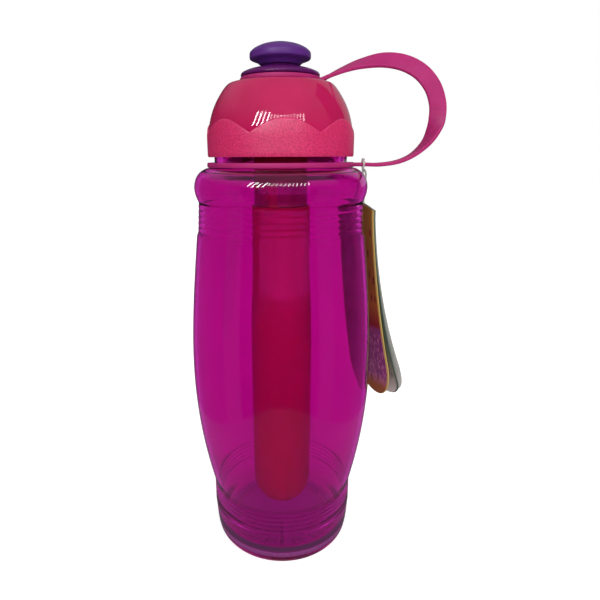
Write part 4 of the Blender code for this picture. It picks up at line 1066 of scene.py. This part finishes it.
def make_floor():
    bm = bmesh.new()
    bmesh.ops.create_grid(bm, x_segments=8, y_segments=8, size=FLOOR_SIZE)
    floor = placed("studio_floor", bm)
    material, tree, shader = finish_start("pale_floor")
    shader_set(shader, Roughness=0.9, Base_Color=tint("D8D8D8"), Specular_IOR_Level=0.0, Emission_Color=WHITE)
    view = straight_view(tree, FLOOR_SEEN)[0]
    lift = add(tree, "ShaderNodeMath", {1: FLOOR_LIFT}, {0: view}, operation="MULTIPLY")
    tree.links.new(lift.outputs[0], shader.inputs["Emission Strength"])
    floor.data.materials.append(material)
    floor.visible_glossy = False


def make_cards():
    """Dark cards and panels outline the clear wall, and the slats give the rows of glints."""
    curved_card("dark_room_card", start=-51, end=46, low=-0.6, high=0.52, radius=1.0, strength=0.004)
    curved_card("left_panel_card", start=-74, end=-51, low=-0.6, high=0.36, radius=1.01, strength=0.08)
    curved_card("right_panel_card", start=46, end=66, low=-0.6, high=0.36, radius=1.01, strength=0.07)
    curved_card("dark_flag_card", start=84, end=124, low=0.2, high=1.4, radius=0.95, strength=0.01)
    lamp_slats("left_slats_card", count=4, start=-45, end=-18, low=0.52, high=0.92, radius=1.0, share=0.28,
               lean=6, strength=30.0)
    lamp_slats("right_slats_card", count=11, start=-18, end=41, low=0.62, high=0.84, radius=1.0, share=0.24,
               lean=3, strength=16.0)
    curved_card("back_right_card", start=126, end=178, low=0.2, high=1.3, radius=0.97, strength=0.35)
    bm = bmesh.new()
    bmesh.ops.create_circle(bm, cap_ends=True, segments=64, radius=1.0)
    bmesh.ops.scale(bm, vec=SHEET_SIZE, verts=bm.verts)
    bmesh.ops.translate(bm, verts=bm.verts, vec=(0, 0, SHEET_LIFT))
    stage_card("table_sheet_card", bm, strength=0.1)


def make_world():
    """White where the camera looks, paler upwards for rays that light the bottle, dim for reflections."""
    world = bpy.data.worlds.new("studio")
    bpy.context.scene.world = world
    world.use_nodes = True
    tree = world.node_tree
    view, glossy = straight_view(tree, ROOM_SEEN)
    place = add(tree, "ShaderNodeTexCoord")
    up = add(tree, "ShaderNodeSeparateXYZ", links={0: place.outputs["Generated"]}).outputs["Z"]
    room = add(tree, "ShaderNodeMapRange", {"From Min": -0.1, "From Max": 0.9, "To Min": 0.36, "To Max": 0.9},
               {"Value": up})
    gleam = add(tree, "ShaderNodeMapRange", {"From Min": 0.3, "From Max": 0.6, "To Min": 0.03, "To Max": 0.3},
                {"Value": up})
    level = add(tree, "ShaderNodeMix", links={0: glossy, 2: room.outputs[0], 3: gleam.outputs[0]})
    seen = add(tree, "ShaderNodeMath", {1: 0.01}, {0: view}, operation="GREATER_THAN")
    shown = add(tree, "ShaderNodeMix", links={0: seen.outputs[0], 2: level.outputs[0], 3: view})
    ground = tree.nodes["Background"]
    ground.inputs["Color"].default_value = WHITE
    tree.links.new(shown.outputs[0], ground.inputs["Strength"])


def make_camera():
    data = bpy.data.cameras.new("photo_camera")
    data.lens = FOCAL_PIXELS / FRAME_PIXELS * FILM_WIDTH
    data.sensor_width = FILM_WIDTH
    data.shift_x = CAMERA_SHIFT
    camera = bpy.data.objects.new("photo_camera", data)
    camera.location = CAMERA_PLACE
    camera.rotation_euler = (math.radians(90 - CAMERA_TILT), math.radians(CAMERA_ROLL), 0)
    bpy.context.scene.collection.objects.link(camera)
    bpy.context.scene.camera = camera


make_floor()
make_cards()
soft_panel("front_panel", power=28.0, size=2.0, place=(0.12, -1.5, 0.45))
soft_panel("side_panel", power=1.0, size=0.8, place=(1.1, -0.1, 0.4))
make_world()
make_camera()
bpy.context.scene.view_settings.view_transform = "Standard"
